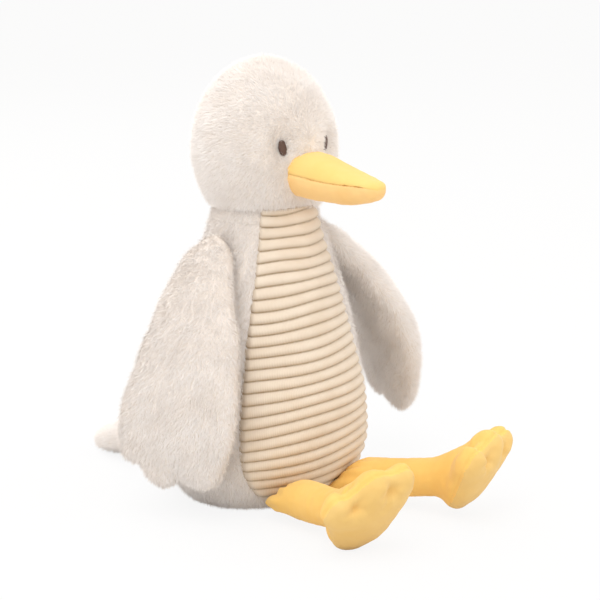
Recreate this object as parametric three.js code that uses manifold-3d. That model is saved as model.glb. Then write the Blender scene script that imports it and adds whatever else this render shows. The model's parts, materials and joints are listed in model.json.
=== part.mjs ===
// Plush goose, sitting: a stuffed body with a ribbed belly, a head with a sewn beak,
// two scalloped wings, two legs with webbed feet and a tail.
// Millimetres, +Z up. The goose faces -Y, its left side is +X, and it sits on Z = 0.
import * as THREE from 'three';
import { mergeVertices } from 'three/addons/utils/BufferGeometryUtils.js';
import Module from 'manifold-3d';

const wasm = await Module();
wasm.setup();

// Clearances: sewn neighbours, panels along a curved seam, stuffing in its cover,
// what lies on the body, and the shells of the neck ball.
const CLEARANCE = 0.3;
const SEAM_GAP = 0.8;
const FILL_GAP = 0.8;
const BODY_CLEARANCE = 0.8;
const NECK_CLEARANCE = 0.9;

// Body: half width, reach to the front and reach to the back at each height.
const FUR_WALL = 3;
const BASE_SEAM_Z = 9;
const BASE_SIDE = 54;
const BASE_FRONT = 42;
const BASE_BACK = 56;
const HIP_Z = 24;
const HIP_SIDE = 71;
const HIP_FRONT = 55;
const HIP_BACK = 74;
const BELLY_Z = 62;
const BELLY_SIDE = 73;
const BELLY_FRONT = 59;
const BELLY_BACK = 72;
const WAIST_Z = 110;
const WAIST_SIDE = 63;
const WAIST_FRONT = 53;
const WAIST_BACK = 60;
const SHOULDER_Z = 150;
const SHOULDER_SIDE = 50;
const SHOULDER_FRONT = 46;
const SHOULDER_BACK = 47;
const NECK_Z = 182;
const NECK_RADIUS = 38;
const BODY_SIDES = 36;
const BACK_COLUMNS = 10;
const BACK_ROWS = 12;

// Belly panel: half angle around the body at the neck, the middle and the base.
const BELLY_NECK_ANGLE = 43;
const BELLY_MIDDLE_ANGLE = 48;
const BELLY_LOW_ANGLE = 50;
const BELLY_BASE_ANGLE = 38;
const RIB_COUNT = 24;
const RIB_HEIGHT = 1.8;
const RIB_SLANT = 7;
const BELLY_COLUMNS = 8;

// Pellet pouch in the base of the body.
const POUCH_TOP_Z = 32;

// Neck ball on which the head turns and nods.
const NECK_BALL_WALL = 4;
const NECK_BALL_RIM = 86;
const NECK_BALL_SEGMENTS = 24;
const NECK_BALL_ROWS = 12;

// Head.
const HEAD_RIM_Z = 192;
const HEAD_CHEEK_Z = 206;
const HEAD_CHEEK_RADIUS = 43;
const HEAD_MIDDLE_Z = 228;
const HEAD_MIDDLE_RADIUS = 48;
const HEAD_BROW_Z = 257;
const HEAD_BROW_RADIUS = 41.5;
const HEAD_CROWN_Z = 278;
const HEAD_CROWN_RADIUS = 26.5;
const HEAD_TOP_Z = 288;
const HEAD_RIM_WALL = 2.5;
const HEAD_SEGMENTS = 24;
const HEAD_ROWS = 12;
const HEAD_SAMPLES = 100;

// Eyes: embroidered ovals.
const EYE_WIDTH = 5;
const EYE_HEIGHT = 10;
const EYE_RAISE = 1.4;
const EYE_Z = 234;
const EYE_ANGLE = 29;
const EYE_SEGMENTS = 16;
const EYE_ROWS = 10;

// Beak.
const BEAK_TIP_REACH = 106;
const BEAK_WALL = 1.6;
const BEAK_BASE_HALF_WIDTH = 16;
const BEAK_BASE_Z = 217.5;
const BEAK_BASE_TOP = 13.5;
const BEAK_BASE_BOTTOM = 16;
const BEAK_MIDDLE_HALF_WIDTH = 14;
const BEAK_MIDDLE_TOP = 8.5;
const BEAK_MIDDLE_BOTTOM = 14.5;
const BEAK_END_HALF_WIDTH = 10;
const BEAK_END_TOP = 5.5;
const BEAK_END_BOTTOM = 7.5;
const BEAK_TIP_Z = 213.5;
const BEAK_SIDES = 16;

// Wings: outline across (front to rear) and down from the shoulder seam.
const WING_LENGTH = 154;
const WING_ROOT_WIDTH = 24;
const WING_ROOT_DROP = 8;
const WING_FRONT_REACH = 42;
const WING_REAR_REACH = 43;
const WING_WIDEST = 118;
const WING_SCALLOP_DEPTH = 7;
const WING_CROWN = 14;
const WING_RIM = 2.4;
const WING_WALL = 2.4;
const WING_ROOT_RADIUS = 3.6;
const WING_SEAM_Z = 167;
const WING_SEAM_TURN = 4;
const WING_TURN = 18;
const WING_BOW = 17;
const RIGHT_WING_SPREAD = 17;
const RIGHT_WING_SWING = 0;
const LEFT_WING_SPREAD = 28;
const LEFT_WING_SWING = 13;

// Legs and webbed feet. The belly leans out over the roots of the legs.
const HIP_HEIGHT = 16;
const HIP_ANGLE = 22;
const HIP_OVERHANG = 0.7;
const LEG_ROOT_RADIUS = 13.5;
const LEG_RADIUS = 12.5;
const LEG_ANKLE_RADIUS = 12;
const LEG_LENGTH = 70;
const LEG_WALL = 1.6;
const ANKLE_HEIGHT = 26;
const RIGHT_LEG_SPLAY = 10;
const LEFT_LEG_SPLAY = 20;
const LEG_SIDES = 14;
const FOOT_LENGTH = 66;
const FOOT_TOE_HALF_WIDTH = 30;
const FOOT_HEEL_RADIUS = 16;
const FOOT_TOE_SCALLOP = 6;
const FOOT_CROWN = 12;
const FOOT_RIM = 2.4;
const FOOT_WALL = 1.6;
const FOOT_LEAN = 32;

// Tail.
const TAIL_LENGTH = 94;
const TAIL_HALF_WIDTH = 32;
const TAIL_ROOT_HALF_WIDTH = 22;
const TAIL_ROOT_DROP = 5;
const TAIL_CROWN = 10;
const TAIL_RIM = 2.4;
const TAIL_WALL = 2.4;
const TAIL_ROOT_RADIUS = 9;
const TAIL_SEAM_Z = 24;
const TAIL_DROOP = 13;

const furMaterial = new THREE.MeshStandardMaterial({ color: 0xe2d8cf, roughness: 0.95, metalness: 0 });
const ribMaterial = new THREE.MeshStandardMaterial({ color: 0xeadcc2, roughness: 0.9, metalness: 0 });
const yellowMaterial = new THREE.MeshStandardMaterial({ color: 0xfbcf72, roughness: 0.8, metalness: 0 });
const threadMaterial = new THREE.MeshStandardMaterial({ color: 0x4a3a33, roughness: 0.7, metalness: 0 });
const fillMaterial = new THREE.MeshStandardMaterial({ color: 0xf4f2ee, roughness: 1, metalness: 0 });
const pouchMaterial = new THREE.MeshStandardMaterial({ color: 0xd8d2c6, roughness: 0.9, metalness: 0 });

const radians = THREE.MathUtils.degToRad;
const UP = new THREE.Vector3(0, 0, 1);

// Merges coincident points, drops collapsed triangles and turns the faces outwards.
function clean(geometry) {
  const bare = geometry.clone();
  bare.deleteAttribute('normal');
  bare.deleteAttribute('uv');
  const merged = mergeVertices(bare, 1e-3);
  const corner = merged.index.array;
  const kept = [];
  for (let i = 0; i < corner.length; i += 3) {
    const [a, b, c] = [corner[i], corner[i + 1], corner[i + 2]];
    if (a !== b && b !== c && c !== a) {
      kept.push(a, b, c);
    }
  }
  merged.setIndex(signedVolume(merged, kept) > 0 ? kept : kept.reverse());
  return merged;
}

function signedVolume(geometry, index) {
  const position = geometry.attributes.position;
  const [a, b, c] = [new THREE.Vector3(), new THREE.Vector3(), new THREE.Vector3()];
  let volume = 0;
  for (let i = 0; i < index.length; i += 3) {
    a.fromBufferAttribute(position, index[i]);
    b.fromBufferAttribute(position, index[i + 1]);
    c.fromBufferAttribute(position, index[i + 2]);
    volume += a.dot(b.cross(c)) / 6;
  }
  return volume;
}

function meshGeometry(points, index) {
  const geometry = new THREE.BufferGeometry().setFromPoints(points);
  geometry.setIndex(index);
  return clean(geometry);
}

// Triangles between two rows of points, each row a closed ring.
function ringStrip(index, first, second, count) {
  for (let side = 0; side < count; side += 1) {
    const next = (side + 1) % count;
    index.push(first + side, first + next, second + side);
    index.push(first + next, second + next, second + side);
  }
}

// Strips between rings of points, from the first ring to the last.
function ringWalls(rings) {
  const count = rings[0].length;
  const index = [];
  for (let ring = 0; ring < rings.length - 1; ring += 1) {
    ringStrip(index, ring * count, (ring + 1) * count, count);
  }
  return index;
}

// Joins rings of points into a solid, with a fan at each end.
function loft(rings) {
  const count = rings[0].length;
  const points = rings.flat();
  const index = ringWalls(rings);
  const last = (rings.length - 1) * count;
  const start = points.push(middleOf(rings[0])) - 1;
  const end = points.push(middleOf(rings[rings.length - 1])) - 1;
  for (let side = 0; side < count; side += 1) {
    const next = (side + 1) % count;
    index.push(start, next, side, end, last + side, last + next);
  }
  return meshGeometry(points, index);
}

// Joins thin bent rings, an outer line and the inner line back, into a solid with strips at its ends.
function loftSkin(rings) {
  const count = rings[0].length;
  const last = (rings.length - 1) * count;
  const index = ringWalls(rings);
  for (let side = 0; side < count / 2 - 1; side += 1) {
    const [a, b, c, d] = [side, side + 1, count - 2 - side, count - 1 - side];
    index.push(a, c, b, a, d, c);
    index.push(last + a, last + b, last + c, last + a, last + c, last + d);
  }
  return meshGeometry(rings.flat(), index);
}

function middleOf(points) {
  const sum = new THREE.Vector3();
  points.forEach((point) => sum.add(point));
  return sum.divideScalar(points.length);
}

// Values that change smoothly along a row of stations.
function smooth(stations) {
  const size = stations[0].length - 1;
  const places = stations.map((station) => station[0]);
  const values = stations.flatMap((station) => station.slice(1));
  const curve = new THREE.CubicInterpolant(places, values, size, new Float64Array(size));
  return (place) => Array.from(curve.evaluate(place));
}

// Cutting and joining.
function solid(geometry) {
  const closed = clean(geometry);
  const mesh = new wasm.Mesh({
    numProp: 3,
    vertProperties: new Float32Array(closed.attributes.position.array),
    triVerts: new Uint32Array(closed.index.array),
  });
  return new wasm.Manifold(mesh);
}

function geometryOf(manifold) {
  const mesh = manifold.getMesh();
  const geometry = new THREE.BufferGeometry();
  geometry.setAttribute('position', new THREE.BufferAttribute(new Float32Array(mesh.vertProperties), 3));
  geometry.setIndex(new THREE.BufferAttribute(new Uint32Array(mesh.triVerts), 1));
  return geometry;
}

function cut(geometry, ...cutters) {
  const result = cutters.reduce((rest, cutter) => rest.subtract(solid(cutter)), solid(geometry));
  return geometryOf(result);
}

function join(first, second) {
  return geometryOf(solid(first).add(solid(second)));
}

// Blocks that fill everything above, below or beside a plane.
const BLOCK = 1000;

function block(x, y, z) {
  return new THREE.BoxGeometry(BLOCK, BLOCK, BLOCK).translate(x, y, z);
}

const blockAbove = (z) => block(0, 0, z + BLOCK / 2);
const blockBelow = (z) => block(0, 0, z - BLOCK / 2);
const blockBeside = (side, x) => block(side * (x + BLOCK / 2), 0, 0);

function piece(name, geometry, material) {
  geometry.computeVertexNormals();
  const mesh = new THREE.Mesh(geometry, material);
  mesh.name = name;
  return mesh;
}

function group(...members) {
  const result = new THREE.Group();
  result.add(...members);
  return result;
}

// Stuffed paddle: an outline in X and Y, drawn in ring by ring to its middle and domed
// on both faces. Its two panels meet at the rim, and the filling lies between them.
const PADDLE_SHARES = [1, 0.9, 0.7, 0.4];

function paddle({ outline, middle, crown, rim, wall }) {
  const count = outline.length;
  const dome = (share) => rim + (crown - rim) * Math.sqrt(1 - share * share);
  const ring = (share, height) => outline.map((point) => {
    const drawn = point.clone().sub(middle).multiplyScalar(share).add(middle);
    return new THREE.Vector3(drawn.x, drawn.y, height);
  });
  const faces = (shares, upper, lower) => {
    const rings = shares.length;
    const points = [upper, lower].flatMap((height) => [
      ...shares.flatMap((share) => ring(share, height(share))),
      new THREE.Vector3(middle.x, middle.y, height(0)),
    ]);
    const index = [];
    const half = rings * count + 1;
    [0, half].forEach((start) => {
      const face = [];
      for (let i = 0; i < rings - 1; i += 1) {
        ringStrip(face, start + i * count, start + (i + 1) * count, count);
      }
      const inmost = start + (rings - 1) * count;
      for (let side = 0; side < count; side += 1) {
        face.push(inmost + side, inmost + (side + 1) % count, start + half - 1);
      }
      index.push(...(start === 0 ? face : face.reverse()));
    });
    ringStrip(index, half, 0, count);
    return meshGeometry(points, index);
  };
  const skin = (share) => Math.max(CLEARANCE / 2, dome(share) - wall);
  const fillHeight = (share) => dome(share) - wall - CLEARANCE;
  const fillShares = PADDLE_SHARES.slice(1);
  return {
    upper: faces(PADDLE_SHARES, dome, skin),
    lower: faces(PADDLE_SHARES, (share) => -skin(share), (share) => -dome(share)),
    fill: faces(fillShares, fillHeight, (share) => -fillHeight(share)),
    whole: (grow) => faces(PADDLE_SHARES, (share) => dome(share) + grow, (share) => -dome(share) - grow),
  };
}

// Smooth closed outline through a few points, with one point added between each two.
function outlineThrough(points) {
  const corners = points.map(([x, y]) => new THREE.Vector3(x, y, 0));
  const curve = new THREE.CatmullRomCurve3(corners, true, 'centripetal');
  const places = points.length * 2;
  return Array.from({ length: places }, (_, i) => {
    const point = curve.getPoint(i / places);
    return new THREE.Vector2(point.x, point.y);
  });
}

// Bends a paddle outwards between its root and its tip.
function bow(geometry, length, rise) {
  const bent = geometry.clone();
  const position = bent.attributes.position;
  for (let i = 0; i < position.count; i += 1) {
    const share = THREE.MathUtils.clamp(position.getY(i) / length, 0, 1);
    position.setZ(i, position.getZ(i) + rise * Math.sin(Math.PI * share));
  }
  return bent;
}

function place(geometry, frame) {
  return clean(geometry.clone().applyMatrix4(frame));
}

// Body surface, from the base seam to the neck.
const bodyProfile = smooth([
  [0, BASE_SIDE, BASE_FRONT, BASE_BACK],
  [HIP_Z, HIP_SIDE, HIP_FRONT, HIP_BACK],
  [BELLY_Z, BELLY_SIDE, BELLY_FRONT, BELLY_BACK],
  [WAIST_Z, WAIST_SIDE, WAIST_FRONT, WAIST_BACK],
  [SHOULDER_Z, SHOULDER_SIDE, SHOULDER_FRONT, SHOULDER_BACK],
  [NECK_Z, NECK_RADIUS, NECK_RADIUS, NECK_RADIUS],
]);

// Point of the body at a height, and at an angle from the front towards the left.
function bodyPoint(angle, z, inset = 0) {
  const [side, front, back] = bodyProfile(z);
  const depth = Math.cos(angle) > 0 ? front : back;
  return new THREE.Vector3((side - inset) * Math.sin(angle), -(depth - inset) * Math.cos(angle), z);
}

function bodyRing(z, inset, sides, height = z) {
  return Array.from({ length: sides }, (_, i) => bodyPoint((i / sides) * 2 * Math.PI, z, inset).setZ(height));
}

// The whole body, grown or drawn in.
function bodySolid(inset, sides) {
  const heights = Array.from({ length: BACK_ROWS + 1 }, (_, row) => rowHeight(row, BACK_ROWS));
  const rings = heights.map((z) => bodyRing(z, inset, sides));
  return loft([bodyRing(0, inset, sides, inset), ...rings]);
}

function rowHeight(row, rows) {
  return THREE.MathUtils.lerp(BASE_SEAM_Z, NECK_Z, row / rows);
}

// Sewn panel of the body: an outer and an inner skin between two angles at each row.
function bodyPanel({ rows, columns, start, end, raise, slant = 0 }) {
  const skin = (inset) => Array.from({ length: rows + 1 }, (_, row) => {
    const fade = Math.sin((row / rows) * Math.PI);
    return Array.from({ length: columns + 1 }, (__, column) => {
      const share = column / columns;
      const z = rowHeight(row, rows) + slant * fade * (share - 0.5) * 2;
      return bodyPoint(THREE.MathUtils.lerp(start(z), end(z), share), z, inset(row));
    });
  });
  const outer = skin((row) => -raise(row));
  const inner = skin(() => FUR_WALL);
  return loftSkin(outer.map((line, row) => [...line, ...inner[row].reverse()]));
}

// Half angle of the belly panel, from its rounded foot to the neck.
const bellyHalfAngle = smooth([
  [0, BELLY_BASE_ANGLE],
  [HIP_Z, BELLY_LOW_ANGLE],
  [BELLY_Z, BELLY_LOW_ANGLE],
  [SHOULDER_Z, BELLY_MIDDLE_ANGLE],
  [NECK_Z, BELLY_NECK_ANGLE],
]);
const bellyAngle = (z) => radians(bellyHalfAngle(z)[0]);

// Neck ball: a dome of the body's stuffing, a shell that turns on it, and the head's socket.
const NECK_BALL_RADIUS = NECK_RADIUS - NECK_CLEARANCE;
const NECK_DOME_RADIUS = NECK_BALL_RADIUS - NECK_BALL_WALL - NECK_CLEARANCE;

function ball(radius) {
  const sphere = new THREE.SphereGeometry(radius, NECK_BALL_SEGMENTS, NECK_BALL_ROWS);
  return sphere.rotateX(Math.PI / 2).translate(0, 0, NECK_Z);
}

function buildBody() {
  const seam = SEAM_GAP / NECK_RADIUS;
  const belly = bodyPanel({
    rows: RIB_COUNT * 2,
    columns: BELLY_COLUMNS,
    start: (z) => -bellyAngle(z),
    end: bellyAngle,
    raise: (row) => (row % 2) * RIB_HEIGHT,
    slant: RIB_SLANT,
  });
  const back = (side) => bodyPanel({
    rows: BACK_ROWS,
    columns: BACK_COLUMNS,
    start: (z) => side * (bellyAngle(z) + seam),
    end: () => side * (Math.PI - seam / 2),
    raise: () => 0,
  });
  const base = loft([
    bodyRing(0, 0, BODY_SIDES),
    bodyRing(BASE_SEAM_Z, 0, BODY_SIDES, BASE_SEAM_Z - CLEARANCE),
    bodyRing(BASE_SEAM_Z, FUR_WALL, BODY_SIDES, BASE_SEAM_Z - CLEARANCE),
    bodyRing(0, FUR_WALL, BODY_SIDES, FUR_WALL),
  ]);
  const fill = bodySolid(FUR_WALL + FILL_GAP, BODY_SIDES / 2);
  const pouch = cut(fill, blockAbove(POUCH_TOP_Z));
  const stuffing = join(cut(fill, blockBelow(POUCH_TOP_Z + CLEARANCE)), ball(NECK_DOME_RADIUS));
  return group(
    piece('belly_panel', belly, ribMaterial),
    piece('back_left', back(1), furMaterial),
    piece('back_right', back(-1), furMaterial),
    piece('base_panel', base, furMaterial),
    piece('body_stuffing', stuffing, fillMaterial),
    piece('pellet_pouch', pouch, pouchMaterial),
  );
}

function buildNeck() {
  const rimHeight = NECK_BALL_RADIUS * Math.cos(radians(NECK_BALL_RIM));
  const hollow = ball(NECK_DOME_RADIUS + NECK_CLEARANCE);
  const shell = cut(ball(NECK_BALL_RADIUS), hollow, blockBelow(NECK_Z + rimHeight));
  return group(piece('neck_stuffing', shell, fillMaterial));
}

// Head: a turned form, with a round socket for the neck ball.
const headRimRadius = Math.sqrt(NECK_RADIUS ** 2 - (HEAD_RIM_Z - NECK_Z) ** 2) + HEAD_RIM_WALL;
const headCurve = new THREE.SplineCurve([
  new THREE.Vector2(headRimRadius, HEAD_RIM_Z),
  new THREE.Vector2(HEAD_CHEEK_RADIUS, HEAD_CHEEK_Z),
  new THREE.Vector2(HEAD_MIDDLE_RADIUS, HEAD_MIDDLE_Z),
  new THREE.Vector2(HEAD_BROW_RADIUS, HEAD_BROW_Z),
  new THREE.Vector2(HEAD_CROWN_RADIUS, HEAD_CROWN_Z),
  new THREE.Vector2(0, HEAD_TOP_Z),
  new THREE.Vector2(-HEAD_CROWN_RADIUS, HEAD_CROWN_Z),
]);
const HEAD_CURVE_TOP = 5 / 6;

function headSolid(grow, rimDrop) {
  const rim = HEAD_RIM_Z - rimDrop;
  const wall = Array.from({ length: HEAD_ROWS + 1 }, (_, row) => {
    const share = (row / HEAD_ROWS) * HEAD_CURVE_TOP;
    const point = headCurve.getPoint(share);
    const along = headCurve.getTangent(share);
    const grown = new THREE.Vector2(point.x + along.y * grow, point.y - along.x * grow);
    return row === HEAD_ROWS ? new THREE.Vector2(0, HEAD_TOP_Z + grow) : grown;
  });
  const foot = wall[0].clone().setY(rim);
  const profile = [new THREE.Vector2(0, rim), foot, ...wall];
  return new THREE.LatheGeometry(profile, HEAD_SEGMENTS).rotateX(Math.PI / 2);
}

// Radius of the head at a height.
function headRadius(z) {
  const samples = Array.from({ length: HEAD_SAMPLES + 1 }, (_, i) => {
    return headCurve.getPoint((i / HEAD_SAMPLES) * HEAD_CURVE_TOP);
  });
  const distance = (point) => Math.abs(point.y - z);
  return samples.reduce((best, point) => (distance(point) < distance(best) ? point : best)).x;
}

function buildHead() {
  const socket = ball(NECK_RADIUS);
  const shell = cut(headSolid(0, 0), headSolid(-FUR_WALL, FUR_WALL), socket);
  const stuffing = cut(headSolid(-FUR_WALL - FILL_GAP, 0), socket);
  const half = (side) => cut(shell, blockBeside(-side, -CLEARANCE / 2));
  const outside = headSolid(CLEARANCE, 0);
  const eye = (side) => {
    const radius = headRadius(EYE_Z);
    const oval = new THREE.SphereGeometry(1, EYE_SEGMENTS, EYE_ROWS);
    oval.scale(EYE_WIDTH / 2, EYE_RAISE, EYE_HEIGHT / 2);
    oval.translate(0, -radius, EYE_Z).rotateZ(side * radians(EYE_ANGLE));
    return cut(oval, outside);
  };
  return group(
    piece('head_left', half(1), furMaterial),
    piece('head_right', half(-1), furMaterial),
    piece('head_stuffing', stuffing, fillMaterial),
    piece('left_eye', eye(1), threadMaterial),
    piece('right_eye', eye(-1), threadMaterial),
    ...buildBeak(outside),
  );
}

// Beak: half width, rise above and drop below the seam, along its reach.
function buildBeak(headOutside) {
  const root = HEAD_CHEEK_RADIUS * 0.75;
  const middle = (HEAD_CHEEK_RADIUS + BEAK_TIP_REACH) / 2;
  const stations = smooth([
    [root, BEAK_BASE_HALF_WIDTH, BEAK_BASE_TOP, BEAK_BASE_BOTTOM, BEAK_BASE_Z],
    [HEAD_CHEEK_RADIUS, BEAK_BASE_HALF_WIDTH, BEAK_BASE_TOP, BEAK_BASE_BOTTOM, BEAK_BASE_Z],
    [middle, BEAK_MIDDLE_HALF_WIDTH, BEAK_MIDDLE_TOP, BEAK_MIDDLE_BOTTOM, (BEAK_BASE_Z + BEAK_TIP_Z) / 2],
    [BEAK_TIP_REACH, BEAK_END_HALF_WIDTH, BEAK_END_TOP, BEAK_END_BOTTOM, BEAK_TIP_Z],
  ]);
  const form = (inset) => {
    const reach = BEAK_TIP_REACH - inset;
    const round = BEAK_END_HALF_WIDTH;
    const places = [root, HEAD_CHEEK_RADIUS, (HEAD_CHEEK_RADIUS + middle) / 2, middle, (middle + reach) / 2,
      reach - round, reach - round * 0.4, reach - round * 0.08];
    return loft(places.map((y) => {
      const [width, top, bottom, z] = stations(y);
      const past = Math.max(0, y - (reach - round)) / round;
      const drawn = Math.sqrt(1 - past * past);
      return Array.from({ length: BEAK_SIDES }, (_, i) => {
        const angle = (i / BEAK_SIDES) * 2 * Math.PI;
        const tall = Math.sin(angle) > 0 ? top : bottom;
        const x = (width - inset) * drawn * Math.cos(angle);
        return new THREE.Vector3(x, -y, z + (tall - inset) * drawn * Math.sin(angle));
      });
    }));
  };
  const slope = Math.atan2(BEAK_BASE_Z - BEAK_TIP_Z, BEAK_TIP_REACH - HEAD_CHEEK_RADIUS);
  const along = (half) => half.rotateX(slope).translate(0, -HEAD_CHEEK_RADIUS, BEAK_BASE_Z);
  const shell = cut(form(0), form(BEAK_WALL), headOutside);
  return [
    piece('beak_upper', cut(shell, along(blockBelow(CLEARANCE / 2))), yellowMaterial),
    piece('beak_lower', cut(shell, along(blockAbove(-CLEARANCE / 2))), yellowMaterial),
    piece('beak_stuffing', cut(form(BEAK_WALL + CLEARANCE), headOutside), fillMaterial),
  ];
}

// Direction around the body, at an angle from the front towards the left.
function outwards(angle) {
  return new THREE.Vector3(Math.sin(angle), -Math.cos(angle), 0);
}

// Space that the body and its ribs take up, with the clearance of what lies on them.
const bodyOutside = bodySolid(-BODY_CLEARANCE, BODY_SIDES);
const bellyOutside = bodyPanel({
  rows: RIB_COUNT,
  columns: BELLY_COLUMNS,
  start: (z) => -bellyAngle(z) - SEAM_GAP / NECK_RADIUS,
  end: (z) => bellyAngle(z) + SEAM_GAP / NECK_RADIUS,
  raise: () => RIB_HEIGHT + BODY_CLEARANCE,
});

// Wings: a scalloped paddle hung from the shoulder seam, turned a little to the front,
// spread away from the body and swung to the rear.
function buildWing(name, side, spread, swing) {
  const front = -WING_FRONT_REACH;
  const rear = WING_REAR_REACH;
  const root = WING_ROOT_WIDTH / 2;
  const notch = WING_LENGTH - WING_SCALLOP_DEPTH;
  const outline = outlineThrough([
    [-root, WING_ROOT_DROP], [0, 0], [root, WING_ROOT_DROP],
    [rear * 0.48, WING_WIDEST * 0.24], [rear * 0.67, WING_WIDEST * 0.5], [rear * 0.86, WING_WIDEST * 0.76],
    [rear, WING_WIDEST], [rear * 0.93, notch * 0.93], [rear * 0.68, notch * 0.96],
    [rear * 0.36, WING_LENGTH], [rear * 0.04, notch], [front * 0.4, WING_LENGTH],
    [front * 0.78, notch * 0.94], [front * 0.96, WING_WIDEST * 0.97], [front, WING_WIDEST * 0.79],
    [front * 0.86, WING_WIDEST * 0.49], [front * 0.55, WING_WIDEST * 0.24],
  ]);
  const form = paddle({
    outline,
    middle: new THREE.Vector2((front + rear) / 2, WING_LENGTH * 0.58),
    crown: WING_CROWN,
    rim: WING_RIM,
    wall: WING_WALL,
  });
  const angle = side * (Math.PI / 2 - radians(WING_TURN));
  const out = outwards(angle);
  const tilt = radians(spread);
  const down = out.clone().multiplyScalar(Math.sin(tilt)).addScaledVector(UP, -Math.cos(tilt));
  const face = out.clone().multiplyScalar(Math.cos(tilt)).addScaledVector(UP, Math.sin(tilt));
  const across = new THREE.Vector3(0, 1, 0).applyAxisAngle(UP, -side * radians(WING_TURN));
  across.applyAxisAngle(face, side * radians(swing));
  down.applyAxisAngle(face, side * radians(swing));
  const seam = bodyPoint(side * (Math.PI / 2 - radians(WING_SEAM_TURN)), WING_SEAM_Z);
  const hinge = seam.addScaledVector(out, WING_ROOT_RADIUS + BODY_CLEARANCE);
  const top = hinge.addScaledVector(down, -WING_ROOT_RADIUS);
  const frame = new THREE.Matrix4().makeBasis(across, down, face).setPosition(top);
  const bowed = (geometry) => bow(geometry, WING_LENGTH, WING_BOW);
  const fitted = (geometry) => cut(place(bowed(geometry), frame), bodyOutside, bellyOutside);
  return group(
    piece(`${name}_wing_outer`, fitted(form.upper), furMaterial),
    piece(`${name}_wing_inner`, fitted(form.lower), furMaterial),
    piece(`${name}_wing_wadding`, fitted(form.fill), fillMaterial),
  );
}

// Legs: a tube from the hip seam to the ankle, and a webbed foot with three toes.
function buildLeg(name, side, splay) {
  const heading = side * radians(splay);
  const forward = outwards(heading);
  const across = new THREE.Vector3(Math.cos(heading), Math.sin(heading), 0);
  const hipAngle = side * radians(HIP_ANGLE);
  const rootReach = LEG_ROOT_RADIUS + BODY_CLEARANCE + RIB_HEIGHT + HIP_OVERHANG;
  const hip = bodyPoint(hipAngle, HIP_HEIGHT).addScaledVector(outwards(hipAngle), rootReach);

  const toe = FOOT_TOE_HALF_WIDTH;
  const notch = FOOT_LENGTH - FOOT_TOE_SCALLOP;
  const half = [
    [FOOT_HEEL_RADIUS * 0.9, FOOT_HEEL_RADIUS * 0.45],
    [FOOT_HEEL_RADIUS * 1.2, FOOT_LENGTH * 0.38],
    [toe, FOOT_LENGTH * 0.66],
    [toe * 0.9, notch * 0.97],
    [toe * 0.46, notch * 0.93],
  ];
  const mirrored = half.map(([x, y]) => [-x, y]).reverse();
  const form = paddle({
    outline: outlineThrough([[0, 0], ...half, [0, FOOT_LENGTH], ...mirrored]),
    middle: new THREE.Vector2(0, FOOT_LENGTH * 0.55),
    crown: FOOT_CROWN,
    rim: FOOT_RIM,
    wall: FOOT_WALL,
  });
  const lean = radians(FOOT_LEAN);
  const toes = forward.clone().multiplyScalar(Math.sin(lean)).addScaledVector(UP, Math.cos(lean));
  const sole = forward.clone().multiplyScalar(Math.cos(lean)).addScaledVector(UP, -Math.sin(lean));
  const ankleUp = ANKLE_HEIGHT / Math.cos(lean);
  const heelReach = LEG_LENGTH - ankleUp * Math.sin(lean);
  const heel = hip.clone().addScaledVector(forward, heelReach).setZ(0);
  const frame = new THREE.Matrix4().makeBasis(across, toes, sole).setPosition(heel);
  const lowest = place(form.whole(0), frame);
  lowest.computeBoundingBox();
  frame.premultiply(new THREE.Matrix4().makeTranslation(0, 0, -lowest.boundingBox.min.z));

  const ankle = heel.clone().addScaledVector(toes, ankleUp).setZ(ANKLE_HEIGHT);
  const tube = (inset, past) => legTube(hip, ankle, inset, past);
  const footOutside = place(form.whole(CLEARANCE), frame);
  const cover = cut(tube(0, 0), tube(LEG_WALL, LEG_WALL), footOutside, bodyOutside, bellyOutside);
  const fill = cut(tube(LEG_WALL + CLEARANCE, 0), footOutside);
  return group(
    piece(`${name}_leg_cover`, cover, yellowMaterial),
    piece(`${name}_leg_stuffing`, fill, fillMaterial),
    piece(`${name}_foot_sole`, place(form.upper, frame), yellowMaterial),
    piece(`${name}_foot_upper`, place(form.lower, frame), yellowMaterial),
    piece(`${name}_foot_stuffing`, place(form.fill, frame), fillMaterial),
  );
}

// Tube of a leg with a round root, drawn in by an inset and run on past the ankle.
function legTube(hip, ankle, inset, past) {
  const along = ankle.clone().sub(hip);
  const length = along.length();
  along.normalize();
  const level = new THREE.Vector3().crossVectors(along, UP).normalize();
  const rise = new THREE.Vector3().crossVectors(level, along);
  const rootRadius = LEG_ROOT_RADIUS - inset;
  const rings = [-80, -50, -20].map((angle) => {
    return [rootRadius * Math.sin(radians(angle)), rootRadius * Math.cos(radians(angle))];
  });
  rings.push([length * 0.3, LEG_RADIUS - inset], [length * 0.7, LEG_RADIUS - inset]);
  rings.push([length + past, LEG_ANKLE_RADIUS - inset]);
  return loft(rings.map(([reach, radius]) => Array.from({ length: LEG_SIDES }, (_, i) => {
    const angle = (i / LEG_SIDES) * 2 * Math.PI;
    const point = hip.clone().addScaledVector(along, reach);
    point.addScaledVector(level, radius * Math.cos(angle));
    return point.addScaledVector(rise, radius * Math.sin(angle));
  })));
}

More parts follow.
